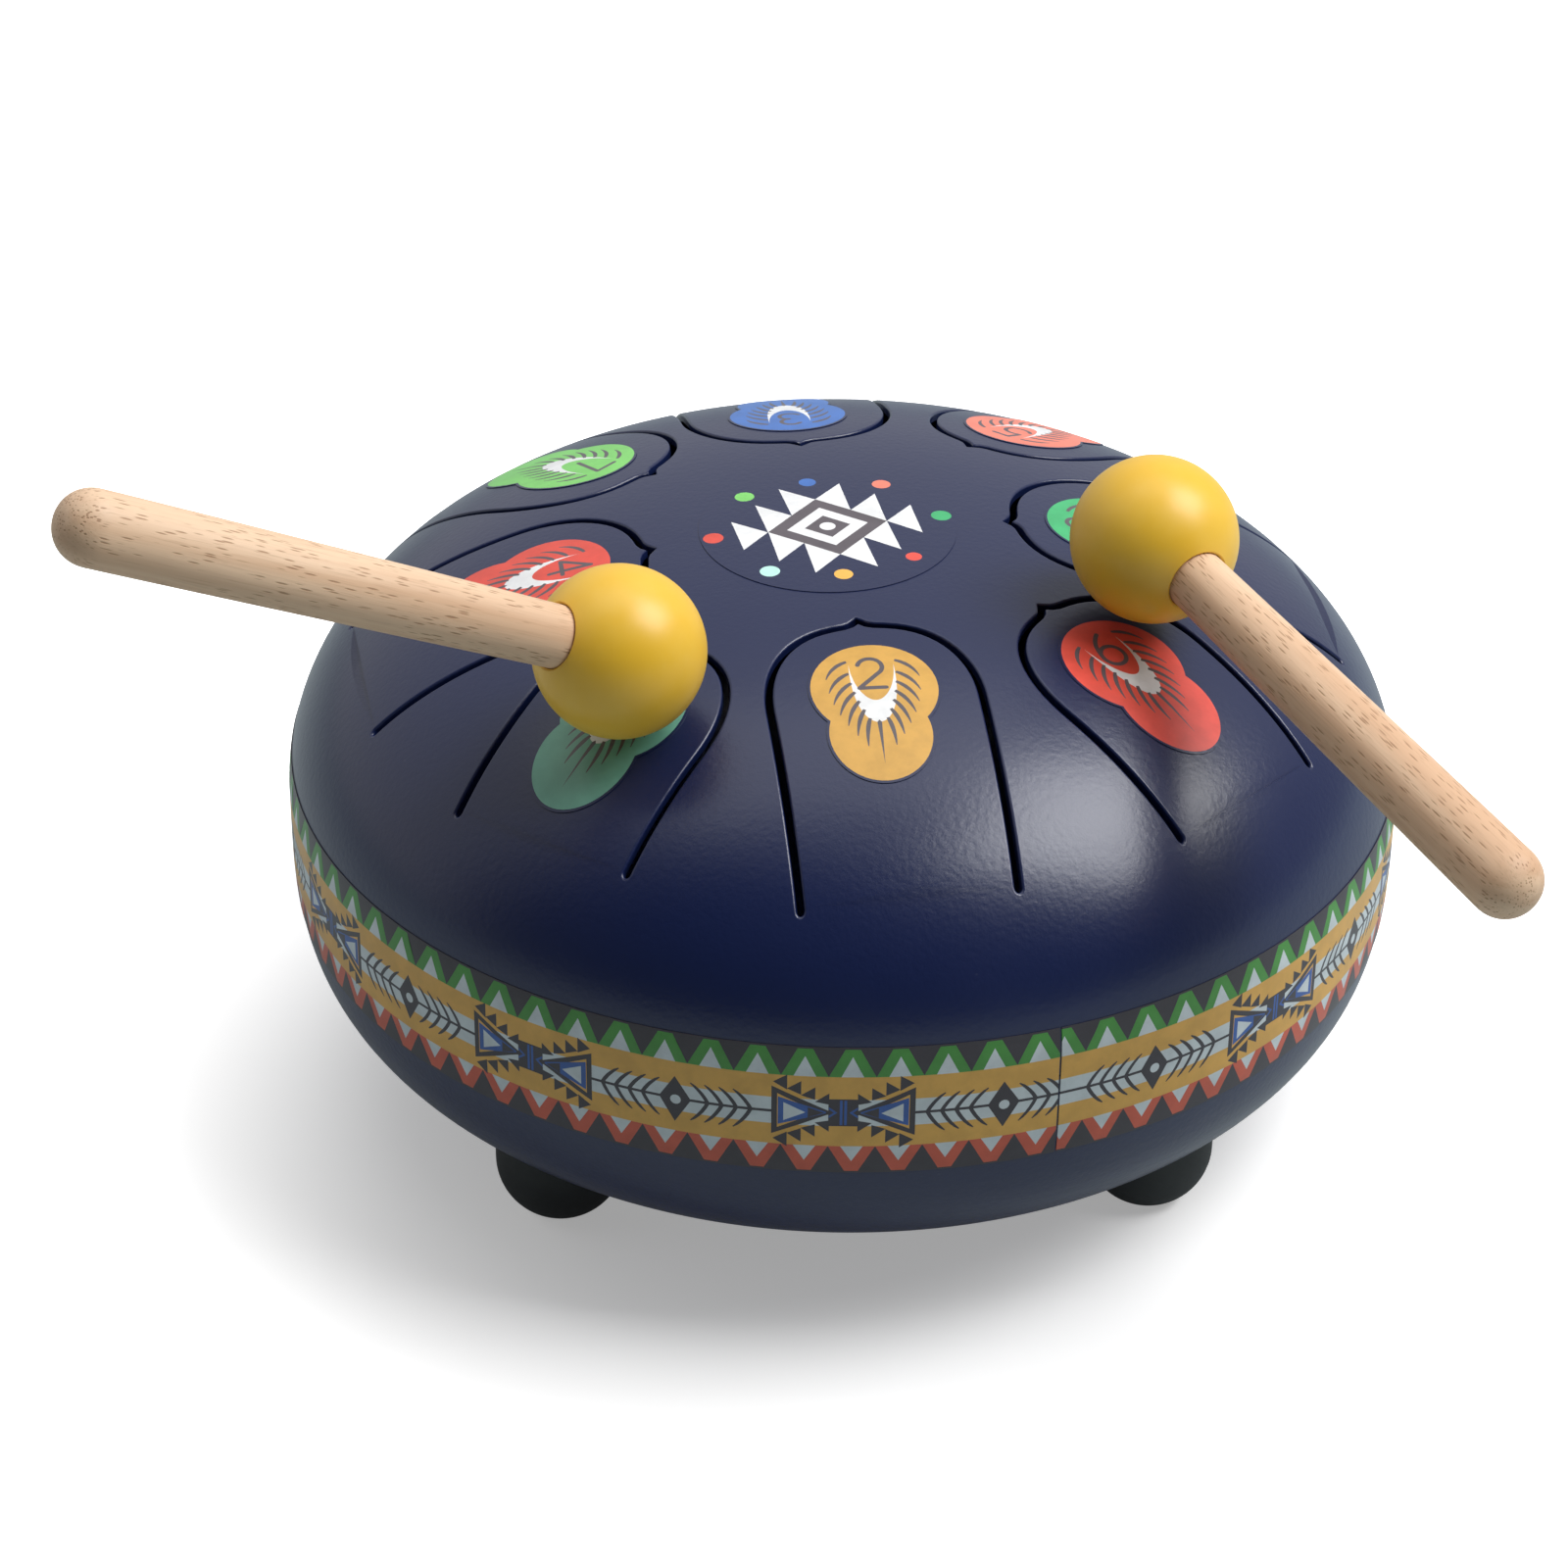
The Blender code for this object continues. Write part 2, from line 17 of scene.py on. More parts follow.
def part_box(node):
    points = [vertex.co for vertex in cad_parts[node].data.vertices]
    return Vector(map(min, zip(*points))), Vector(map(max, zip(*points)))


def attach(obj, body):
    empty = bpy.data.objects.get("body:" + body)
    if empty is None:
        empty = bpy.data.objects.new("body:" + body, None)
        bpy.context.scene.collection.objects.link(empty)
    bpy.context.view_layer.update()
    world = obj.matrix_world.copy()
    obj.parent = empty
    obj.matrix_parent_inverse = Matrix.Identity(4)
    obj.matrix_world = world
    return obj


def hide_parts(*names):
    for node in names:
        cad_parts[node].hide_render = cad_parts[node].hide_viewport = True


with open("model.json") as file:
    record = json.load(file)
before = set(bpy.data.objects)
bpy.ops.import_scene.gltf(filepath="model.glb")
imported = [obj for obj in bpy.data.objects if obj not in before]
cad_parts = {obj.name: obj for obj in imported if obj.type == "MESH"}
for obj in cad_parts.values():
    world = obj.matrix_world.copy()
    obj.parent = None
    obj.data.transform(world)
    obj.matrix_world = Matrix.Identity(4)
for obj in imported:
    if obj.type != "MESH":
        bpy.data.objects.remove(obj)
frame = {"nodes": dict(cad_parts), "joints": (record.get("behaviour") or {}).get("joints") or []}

LOG = logging.getLogger("tongue_drum")
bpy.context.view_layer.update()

MM = 0.001
FULL_TURN = 2 * math.pi
QUARTER_TURN = math.pi / 2

Point = tuple[float, float]
Colour = tuple[float, float, float]
Number = Union[int, float]


# ---------------------------------------------------------------------------------------------------
# Shader bench: sockets that take part in Python arithmetic, and one method that adds any node
# ---------------------------------------------------------------------------------------------------

class Signal:
    """One shader socket, with the arithmetic that adds Math nodes."""

    def __init__(self, bench: "Bench", socket: bpy.types.NodeSocket) -> None:
        """Wrap a socket of a bench's material."""
        self.bench = bench
        self.socket = socket

    def _math(self, operation: str, *values: Union["Signal", Number]) -> "Signal":
        """Add one Math node.

        Args:
            operation: the node's operation, in Blender's words.
            values: what its inputs hold, in order.

        Returns:
            The node's result.
        """
        sockets = dict(enumerate(values))
        return self.bench.node("ShaderNodeMath", {"operation": operation}, sockets)

    def __add__(self, other: Union["Signal", Number]) -> "Signal":
        """Sum."""
        return self._math("ADD", self, other)

    __radd__ = __add__

    def __sub__(self, other: Union["Signal", Number]) -> "Signal":
        """Difference."""
        return self._math("SUBTRACT", self, other)

    def __rsub__(self, other: Number) -> "Signal":
        """Difference, with the number first."""
        return self._math("SUBTRACT", other, self)

    def __mul__(self, other: Union["Signal", Number]) -> "Signal":
        """Product."""
        return self._math("MULTIPLY", self, other)

    __rmul__ = __mul__

    def step(self, low: float, high: float) -> "Signal":
        """Ease from 0 at low to 1 at high.

        Args:
            low: the value that gives 0.
            high: the value that gives 1, which may be the smaller one.

        Returns:
            The eased value, clamped.
        """
        settings = {"interpolation_type": "SMOOTHSTEP"}
        sockets = {"Value": self, "From Min": low, "From Max": high, "To Min": 0.0, "To Max": 1.0}
        return self.bench.node("ShaderNodeMapRange", settings, sockets)


class Bench:
    """A new material with an empty node tree and the means to fill it."""

    def __init__(self, name: str) -> None:
        """Start a material of this name."""
        self.material = bpy.data.materials.new(name)
        self.material.use_nodes = True
        self.tree = self.material.node_tree
        self.tree.nodes.clear()

    def node(self, kind: str, settings: dict | None = None, sockets: dict | None = None,
             output: int | str = 0) -> Signal:
        """Add a node of any type.

        Args:
            kind: the node's type.
            settings: attributes set first, such as a Math node's operation.
            sockets: input name or number to a value or a Signal.
            output: which output to give back.

        Returns:
            That output, wrapped.
        """
        node = self.tree.nodes.new(kind)
        for key, value in (settings or {}).items():
            setattr(node, key, value)
        for key, value in (sockets or {}).items():
            if isinstance(value, Signal):
                self.tree.links.new(value.socket, node.inputs[key])
            else:
                node.inputs[key].default_value = value
        return Signal(self, node.outputs[output])

    def place(self) -> Signal:
        """Object coordinates, in metres."""
        return self.node("ShaderNodeTexCoord", output="Object")

    def stored(self, name: str) -> Signal:
        """A vector attribute that the piece's mesh holds."""
        return self.node("ShaderNodeAttribute", {"attribute_name": name}, output="Vector")

    def stretched(self, vector: Signal, scale: Sequence[float]) -> Signal:
        """Coordinates multiplied axis by axis."""
        return self.node("ShaderNodeMapping", {}, {"Vector": vector, "Scale": tuple(scale)})

    def noise(self, vector: Signal, scale: float, detail: float = 2.0, roughness: float = 0.5,
              distortion: float = 0.0) -> Signal:
        """Fractal noise, about 0 to 1."""
        sockets = {"Vector": vector, "Scale": scale, "Detail": detail, "Roughness": roughness,
                   "Distortion": distortion}
        return self.node("ShaderNodeTexNoise", {}, sockets)

    def cells(self, vector: Signal, scale: float) -> Signal:
        """Distance to the middle of the nearest Voronoi cell."""
        sockets = {"Vector": vector, "Scale": scale}
        return self.node("ShaderNodeTexVoronoi", {}, sockets, "Distance")

    def blend(self, factor: Union[Signal, float], first: Union[Signal, Colour],
              second: Union[Signal, Colour]) -> Signal:
        """Mix two colours.

        Args:
            factor: how much of the second.
            first: a colour or a Signal.
            second: a colour or a Signal.

        Returns:
            The mixed colour.
        """
        node = self.tree.nodes.new("ShaderNodeMix")
        node.data_type = "RGBA"
        for number, value in ((0, factor), (6, first), (7, second)):
            if isinstance(value, Signal):
                self.tree.links.new(value.socket, node.inputs[number])
            elif number:
                node.inputs[number].default_value = (*value, 1.0)
            else:
                node.inputs[number].default_value = value
        return Signal(self, node.outputs[2])

    def bump(self, height: Signal, distance: float) -> Signal:
        """Relief whose full height is a distance in metres."""
        sockets = {"Height": height, "Distance": distance, "Strength": 1.0}
        return self.node("ShaderNodeBump", {}, sockets)

    def finish(self, **sockets: Union[Signal, float, Colour]) -> bpy.types.Material:
        """Close the tree with a Principled shader.

        Args:
            sockets: shader inputs by name, with _ for a space.

        Returns:
            The finished material.
        """
        named = {}
        for key, value in sockets.items():
            name = key.replace("_", " ")
            if isinstance(value, tuple) and len(value) == 3:
                value = (*value, 1.0)
            named[name] = value
        shader = self.node("ShaderNodeBsdfPrincipled", {}, named)
        self.node_output(shader)
        return self.material

    def node_output(self, shader: Signal) -> None:
        """Send a shader to the material's output."""
        output = self.tree.nodes.new("ShaderNodeOutputMaterial")
        self.tree.links.new(shader.socket, output.inputs["Surface"])


# ---------------------------------------------------------------------------------------------------
# Finishes
# ---------------------------------------------------------------------------------------------------

@dataclass(frozen=True)
class PowderCoat:
    """Satin powder coat: a soft orange-peel relief, and a little life in its colour."""

    name: str = "navy_coat"
    colour: Colour = (0.0062, 0.0132, 0.063)
    dusty: Colour = (0.0095, 0.0170, 0.069)
    roughness: float = 0.31
    peel_size: float = 0.85 * MM
    peel_height: float = 0.036 * MM
    grain_size: float = 0.28 * MM

    def material(self) -> bpy.types.Material:
        """Build the material."""
        bench = Bench(self.name)
        place = bench.place()
        peel = bench.noise(place, 1 / self.peel_size, 2.0, 0.45)
        grain = bench.noise(place, 1 / self.grain_size, 1.0, 0.5)
        cloud = bench.noise(place, 38.0, 3.0, 0.6)
        colour = bench.blend(cloud.step(0.35, 0.75) * 0.35, self.colour, self.dusty)
        dust = bench.cells(place, 420.0).step(0.10, 0.03) * cloud.step(0.55, 0.7)
        colour = bench.blend(dust * 0.10, colour, (0.16, 0.17, 0.21))
        roughness = self.roughness + (cloud - 0.5) * 0.08 + (grain - 0.5) * 0.06
        relief = bench.bump(peel + grain * 0.22, self.peel_height)
        return bench.finish(
            Base_Color=colour, Roughness=roughness, Normal=relief, IOR=1.5, Coat_Weight=0.12,
            Coat_Roughness=0.22)


@dataclass(frozen=True)
class PrintedFilm:
    """Printed sticker film: ink with a faint unevenness under a satin face."""

    name: str
    colour: Colour
    roughness: float = 0.36

    def material(self) -> bpy.types.Material:
        """Build the material."""
        bench = Bench(f"film_{self.name}")
        place = bench.place()
        ink = bench.noise(place, 260.0, 4.0, 0.62)
        shade = tuple(0.90 * part for part in self.colour)
        light = tuple(min(1.0, part * 1.05 + 0.002) for part in self.colour)
        colour = bench.blend(ink.step(0.3, 0.7), shade, light)
        face = bench.noise(place, 1500.0, 2.0, 0.5)
        relief = bench.bump(face, 0.0035 * MM)
        roughness = self.roughness + (ink - 0.5) * 0.10
        return bench.finish(Base_Color=colour, Roughness=roughness, Normal=relief, IOR=1.48)


@dataclass(frozen=True)
class Beech:
    """Sanded beech, with grain along the stick and short dark rays across its face.

    The piece's mesh holds the stick's own coordinates, Z along the stick.
    """

    name: str = "beech"
    attribute: str = "stick_place"
    pale: Colour = (0.80, 0.57, 0.385)
    tan: Colour = (0.64, 0.40, 0.245)
    ray: Colour = (0.33, 0.17, 0.085)
    roughness: float = 0.52

    def material(self) -> bpy.types.Material:
        """Build the material."""
        bench = Bench(self.name)
        place = bench.stored(self.attribute)
        grain = bench.noise(bench.stretched(place, (520.0, 900.0, 26.0)), 1.0, 4.0, 0.6, 0.3)
        bands = bench.noise(bench.stretched(place, (150.0, 300.0, 9.0)), 1.0, 2.0, 0.5, 0.4)
        fibre = bench.noise(bench.stretched(place, (4200.0, 4200.0, 130.0)), 1.0, 2.0, 0.6)
        colour = bench.blend(bands.step(0.30, 0.72), self.pale, self.tan)
        colour = bench.blend(grain.step(0.42, 0.78) * 0.45, colour, self.tan)
        ray_place = bench.stretched(place, (2500.0, 2500.0, 300.0))
        near = bench.cells(ray_place, 1.0)
        lot = bench.noise(bench.stretched(place, (260.0, 260.0, 90.0)), 1.0, 1.0, 0.5)
        rays = near.step(0.36, 0.16) * lot.step(0.36, 0.52)
        colour = bench.blend(rays * 0.75, colour, self.ray)
        colour = bench.blend(fibre.step(0.50, 0.80) * 0.30, colour, self.ray)
        relief = bench.bump(fibre * 0.6 + grain * 0.5 - rays * 0.8, 0.03 * MM)
        roughness = self.roughness + (grain - 0.5) * 0.16 + rays * 0.12
        return bench.finish(
            Base_Color=colour, Roughness=roughness, Normal=relief, IOR=1.45, Coat_Weight=0.06,
            Coat_Roughness=0.4)


@dataclass(frozen=True)
class Rubber:
    """Moulded rubber with a fine matt face and a little bloom."""

    name: str
    colour: Colour
    bloom: Colour
    roughness: float
    relief: float = 0.012 * MM

    def material(self) -> bpy.types.Material:
        """Build the material."""
        bench = Bench(self.name)
        place = bench.place()
        cloud = bench.noise(place, 90.0, 4.0, 0.6)
        pores = bench.noise(place, 2400.0, 2.0, 0.55)
        marks = bench.noise(place, 620.0, 3.0, 0.55)
        colour = bench.blend(cloud.step(0.35, 0.75) * 0.6, self.colour, self.bloom)
        colour = bench.blend(marks.step(0.60, 0.78) * 0.12, colour, self.bloom)
        roughness = self.roughness + (cloud - 0.5) * 0.12 + (pores - 0.5) * 0.08
        relief = bench.bump(pores * 0.5 + marks * 0.6, self.relief)
        return bench.finish(Base_Color=colour, Roughness=roughness, Normal=relief, IOR=1.5)


@dataclass(frozen=True)
class PlatedMetal:
    """Zinc plate or bare rolled steel, with fine drawn scratches."""

    name: str
    colour: Colour
    roughness: float

    def material(self) -> bpy.types.Material:
        """Build the material."""
        bench = Bench(self.name)
        place = bench.place()
        haze = bench.noise(place, 300.0, 4.0, 0.6)
        lines = bench.noise(bench.stretched(place, (300.0, 300.0, 5200.0)), 1.0, 2.0, 0.6)
        dull = tuple(0.68 * part for part in self.colour)
        colour = bench.blend(haze.step(0.3, 0.7), self.colour, dull)
        relief = bench.bump(lines * 0.6 + haze * 0.5, 0.006 * MM)
        roughness = self.roughness + (haze - 0.5) * 0.2
        return bench.finish(Base_Color=colour, Roughness=roughness, Normal=relief, Metallic=1.0)


@dataclass(frozen=True)
class StudioPaper:
    """The plain pale floor. It glows like a light table, less so under the object, where the weaker
    glow is a painted shadow.

    Attributes:
        name: the material's name.
        colour: the paper as it is seen.
        near: its glow under the object, kept low there to paint the object's shadow.
        far: its glow away from the object.
        bounce: the glow that reaches the object, painted bounce light from a floor that is no lamp.
        dim: the paper's colour as the object mirrors it, darker and bluer than it is seen: a painted
            reflection and weaker bounce light.
        shade_centre: the middle of the part that glows less.
        shade_edges: how far from there the glow starts to rise, and where it is full.
    """

    name: str = "studio_paper"
    colour: Colour = (0.84, 0.84, 0.84)
    near: float = 0.34
    far: float = 1.0
    bounce: float = 0.06
    dim: Colour = (0.40, 0.46, 0.47)
    shade_centre: tuple[float, float, float] = (0.018, -0.026, 0.0)
    shade_edges: Point = (0.070, 0.150)

    def material(self) -> bpy.types.Material:
        """Build the material."""
        bench = Bench(self.name)
        place = bench.place()
        fibre = bench.noise(place, 420.0, 3.0, 0.6)
        colour = bench.blend(fibre, self.colour, tuple(part * 0.985 for part in self.colour))
        distance = bench.node("ShaderNodeVectorMath", {"operation": "DISTANCE"},
                              {0: place, 1: self.shade_centre}, "Value")
        # Painted shadow: the camera sees less glow within these distances of the object, which darkens
        # the paper round it.
        painted_shadow_fade = distance.step(*self.shade_edges)
        near, far = ((value,) * 3 for value in (self.near, self.far))
        # Painted light for the object's rays: a faint even glow as painted bounce light, and a darker
        # teal paper as a painted reflection.
        seen = bench.node("ShaderNodeLightPath", output="Is Camera Ray")
        glow = bench.blend(seen, (self.bounce,) * 3, bench.blend(painted_shadow_fade, near, far))
        colour = bench.blend(seen, self.dim, colour)
        return bench.finish(Base_Color=colour, Roughness=0.9, Specular_IOR_Level=0.0,
                            Emission_Color=glow, Emission_Strength=1.0)


class Ink(Enum):
    """The printed colours."""

    OCHRE = ("ochre", (0.665, 0.370, 0.075))
    RED = ("red", (0.780, 0.085, 0.060))
    MINT = ("mint", (0.150, 0.400, 0.310))
    VERMILION = ("vermilion", (0.740, 0.080, 0.055))
    LIME = ("lime", (0.210, 0.640, 0.145))
    BLUE = ("blue", (0.050, 0.165, 0.520))
    SALMON = ("salmon", (0.850, 0.220, 0.150))
    GREEN = ("green", (0.050, 0.440, 0.165))
    LEAF = ("leaf", (0.060, 0.270, 0.045))
    BRICK = ("brick", (0.560, 0.095, 0.050))
    DEEP_BLUE = ("deep_blue", (0.030, 0.100, 0.360))
    PLUM = ("plum", (0.040, 0.034, 0.044))
    SLATE = ("slate", (0.105, 0.090, 0.105))
    WHITE = ("white", (0.830, 0.840, 0.850))
    PALE = ("pale", (0.560, 0.620, 0.650))
    PALE_MINT = ("pale_mint", (0.500, 0.840, 0.760))
    SUN = ("sun", (0.890, 0.480, 0.090))
    CLEAR = ("clear", (0.034, 0.042, 0.112))

    def film(self) -> Union[PrintedFilm, PowderCoat]:
        """This ink as a finish; where the film is clear, the coat under it shows."""
        name, colour = self.value
        if self is Ink.CLEAR:
            return PowderCoat(name="clear_film")
        return PrintedFilm(name, colour)


class Paintshop:
    """Every material of the object, each made once, when it is first asked for."""

    def __init__(self) -> None:
        """Start with no material made."""
        self._made: dict[str, bpy.types.Material] = {}

    def get(self, finish: Union[PowderCoat, PrintedFilm, Beech, Rubber, PlatedMetal, StudioPaper]
            ) -> bpy.types.Material:
        """The material of a finish."""
        if finish.name not in self._made:
            self._made[finish.name] = finish.material()
        return self._made[finish.name]


NAVY = PowderCoat()
BEECH = Beech()
YELLOW_RUBBER = Rubber("yellow_rubber", (0.830, 0.490, 0.032), (0.860, 0.550, 0.080), 0.38,
                       relief=0.008 * MM)
BLACK_RUBBER = Rubber("black_rubber", (0.018, 0.020, 0.021), (0.040, 0.043, 0.044), 0.62)
ZINC = PlatedMetal("zinc", (0.62, 0.62, 0.60), 0.28)
BARE_STEEL = PlatedMetal("bare_steel", (0.33, 0.33, 0.34), 0.45)
PAINTS = Paintshop()


# ---------------------------------------------------------------------------------------------------
# Mesh bench
# ---------------------------------------------------------------------------------------------------

def deselect_all() -> None:
    """Leave nothing selected, in object mode."""
    if bpy.context.object and bpy.context.object.mode != "OBJECT":
        bpy.ops.object.mode_set(mode="OBJECT")
    bpy.ops.object.select_all(action="DESELECT")


def pick(piece: bpy.types.Object) -> None:
    """Select one piece alone and make it active."""
    deselect_all()
    piece.select_set(True)
    bpy.context.view_layer.objects.active = piece


def edit_all(piece: bpy.types.Object) -> None:
    """Open a piece in edit mode with everything selected."""
    pick(piece)
    bpy.ops.object.mode_set(mode="EDIT")
    bpy.ops.mesh.select_all(action="SELECT")


def turned(name: str, profile: Sequence[Point], steps: int, centre: Point = (0.0, 0.0)
           ) -> bpy.types.Object:
    """Spin a profile round an upright axis.

    Args:
        name: the piece's name.
        profile: (radius, height) points, down the outer side.
        steps: how many facets the full turn has.
        centre: where the axis stands.

    Returns:
        The closed or open surface of revolution, smooth shaded.
    """
    first = profile[0]
    deselect_all()
    start = (centre[0] + first[0], centre[1], first[1])
    bpy.ops.mesh.primitive_plane_add(size=MM, location=start)
    piece = bpy.context.object
    piece.name = name
    edit_all(piece)
    bpy.ops.mesh.merge(type="CENTER")
    for before, after in zip(profile, profile[1:]):
        move = (after[0] - before[0], 0.0, after[1] - before[1])
        bpy.ops.mesh.extrude_vertices_move(TRANSFORM_OT_translate={"value": move})
    bpy.ops.mesh.select_all(action="SELECT")
    axis_foot = (centre[0], centre[1], 0.0)
    bpy.ops.mesh.spin(steps=steps, angle=FULL_TURN, center=axis_foot, axis=(0.0, 0.0, 1.0))
    bpy.ops.mesh.select_all(action="SELECT")
    bpy.ops.mesh.remove_doubles(threshold=0.000002)
    bpy.ops.mesh.normals_make_consistent(inside=False)
    bpy.ops.object.mode_set(mode="OBJECT")
    bpy.ops.object.transform_apply(location=True, rotation=True, scale=True)
    bpy.ops.object.shade_smooth_by_angle(angle=math.radians(40))
    return piece


def arc(centre: Point, radius: float, start: float, end: float, steps: int) -> list[Point]:
    """Points of a round stretch, angles in degrees, anticlockwise from +X when end is larger."""
    points = []
    for step in range(steps + 1):
        angle = math.radians(start + (end - start) * step / steps)
        points.append((centre[0] + radius * math.cos(angle), centre[1] + radius * math.sin(angle)))
    return points


def ribbon(path: Sequence[Point], widths: Sequence[float]) -> list[list[Point]]:
    """A drawn stroke as a chain of overlapping quads with round joints.

    Args:
        path: the stroke's middle line.
        widths: its width at each point.

    Returns:
        One polygon for each stretch and joint.
    """
    shapes = []
    for index in range(len(path) - 1):
        a, b = Vector(path[index]), Vector(path[index + 1])
        if (b - a).length < 1e-6:
            continue
        side = Vector((a.y - b.y, b.x - a.x)).normalized()
        half_a, half_b = widths[index] / 2, widths[index + 1] / 2
        corners = (a - side * half_a, b - side * half_b, b + side * half_b, a + side * half_a)
        shapes.append([tuple(corner) for corner in corners])
    for point, width in list(zip(path, widths))[1:-1]:
        shapes.append(arc(point, width / 2, 0, 315, 7))
    return [shape for shape in shapes if len(shape) > 2]


def curve_points(start: Point, control: Point, end: Point, steps: int) -> list[Point]:
    """A quadratic curve from start to end, pulled towards control."""
    a, b, c = Vector(start), Vector(control), Vector(end)
    points = []
    for step in range(steps + 1):
        t = step / steps
        points.append(tuple(a * (1 - t) ** 2 + b * (2 * t * (1 - t)) + c * t ** 2))
    return points


# ---------------------------------------------------------------------------------------------------
# Form of the shells, and the tongues' layout, both read from the frame
# ---------------------------------------------------------------------------------------------------

@dataclass
class DrumForm:
    """The pressed shells' surfaces, as heights over the drum's own axis.

    The seam, the middle and the radius come from the frame. The rest are the shells' own sizes.
    """

    wall_up: float = 2.5 * MM
    rise: float = 37.4 * MM
    dome_side: float = 2.65
    wall_down: float = 2.0 * MM
    depth: float = 39.4 * MM
    bowl_side: float = 2.55
    bowl_crown: float = 3.3
    sheet: float = 1.2 * MM

    def __post_init__(self) -> None:
        """Read the middle, the seam and the radius from the shells' boxes."""
        upper_low, upper_high = (Vector(corner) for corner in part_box("upper_shell"))
        lower_low, lower_high = (Vector(corner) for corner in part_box("lower_shell"))
        middle = (lower_low + lower_high) / 2
        self.centre = Vector((middle.x, middle.y))
        self.seam = (upper_low.z + lower_high.z) / 2
        self.radius = (upper_high.x - upper_low.x) / 2 + 0.2 * MM

    def dome_height(self, radius: np.ndarray) -> np.ndarray:
        """Height of the dome's outside at distances from the axis."""
        share = np.clip(radius / self.radius, 0.0, 1.0) ** self.dome_side
        return self.seam + self.wall_up + self.rise * np.sqrt(1 - share)

    def dome_lean(self, radius: np.ndarray) -> tuple[np.ndarray, np.ndarray]:
        """The dome's outward normal, as its outward and its upward part."""
        reach = np.clip(radius / self.radius, 0.0, 0.99999)
        up_share = np.sqrt(1 - reach ** self.dome_side)
        out = self.dome_side * reach ** (self.dome_side - 1) / self.radius
        up = 2 * up_share / self.rise
        length = np.hypot(out, up)
        return out / length, up / length

    def dome_places(self, points: np.ndarray, lift: float = 0.0) -> tuple[np.ndarray, np.ndarray]:
        """Put plan points on the dome.

        Args:
            points: world x and y, one row each.
            lift: distance out of the surface.

        Returns:
            World places, and the surface's normals there.
        """
        arm = points - np.array(self.centre)
        radius = np.hypot(arm[:, 0], arm[:, 1])
        out, up = self.dome_lean(radius)
        away = arm / np.maximum(radius, 1e-9)[:, None]
        normals = np.column_stack((away * out[:, None], up))
        surface = np.column_stack((points, self.dome_height(radius)))
        return surface + normals * lift, normals

    def dome_angle_point(self, angle: float, lift: float = 0.0) -> Point:
        """Radius and height at an even step of the meridian; angle 0 is the crown."""
        radius = self.radius * math.sin(angle) ** (2 / self.dome_side)
        height = self.dome_height(np.array([radius]))[0]
        out, up = self.dome_lean(np.array([radius]))
        return (radius + lift * float(out[0]), float(height) + lift * float(up[0]))

    def bowl_point(self, angle: float, lift: float = 0.0) -> Point:
        """Radius and height on the bowl's outside; angle 0 is its bottom, a quarter turn its rim."""
        radius = self.radius * math.sin(angle) ** (2 / self.bowl_side)
        fall = self.depth * math.cos(angle) ** (2 / self.bowl_crown)
        out = self.bowl_side * (radius / self.radius) ** (self.bowl_side - 1) / self.radius
        down = self.bowl_crown * (fall / self.depth) ** (self.bowl_crown - 1) / self.depth
        length = math.hypot(out, down)
        height = self.seam - self.wall_down - fall - lift * down / length
        return (radius + lift * out / length, height)

    def bowl_height(self, radius: float) -> float:
        """Height of the bowl's outside at a distance from the axis."""
        share = min(radius / self.radius, 1.0) ** self.bowl_side
        return self.seam - self.wall_down - self.depth * (1 - share) ** (1 / self.bowl_crown)

    def wall_radius(self, height: float) -> float:
        """The shells' outside radius at a height near the seam."""
        over = height - self.seam - self.wall_up
        if over > 0:
            return self.radius * (1 - (over / self.rise) ** 2) ** (1 / self.dome_side)
        under = self.seam - self.wall_down - height
        if under > 0:
            share = (under / self.depth) ** self.bowl_crown
            return self.radius * (1 - share) ** (1 / self.bowl_side)
        return self.radius


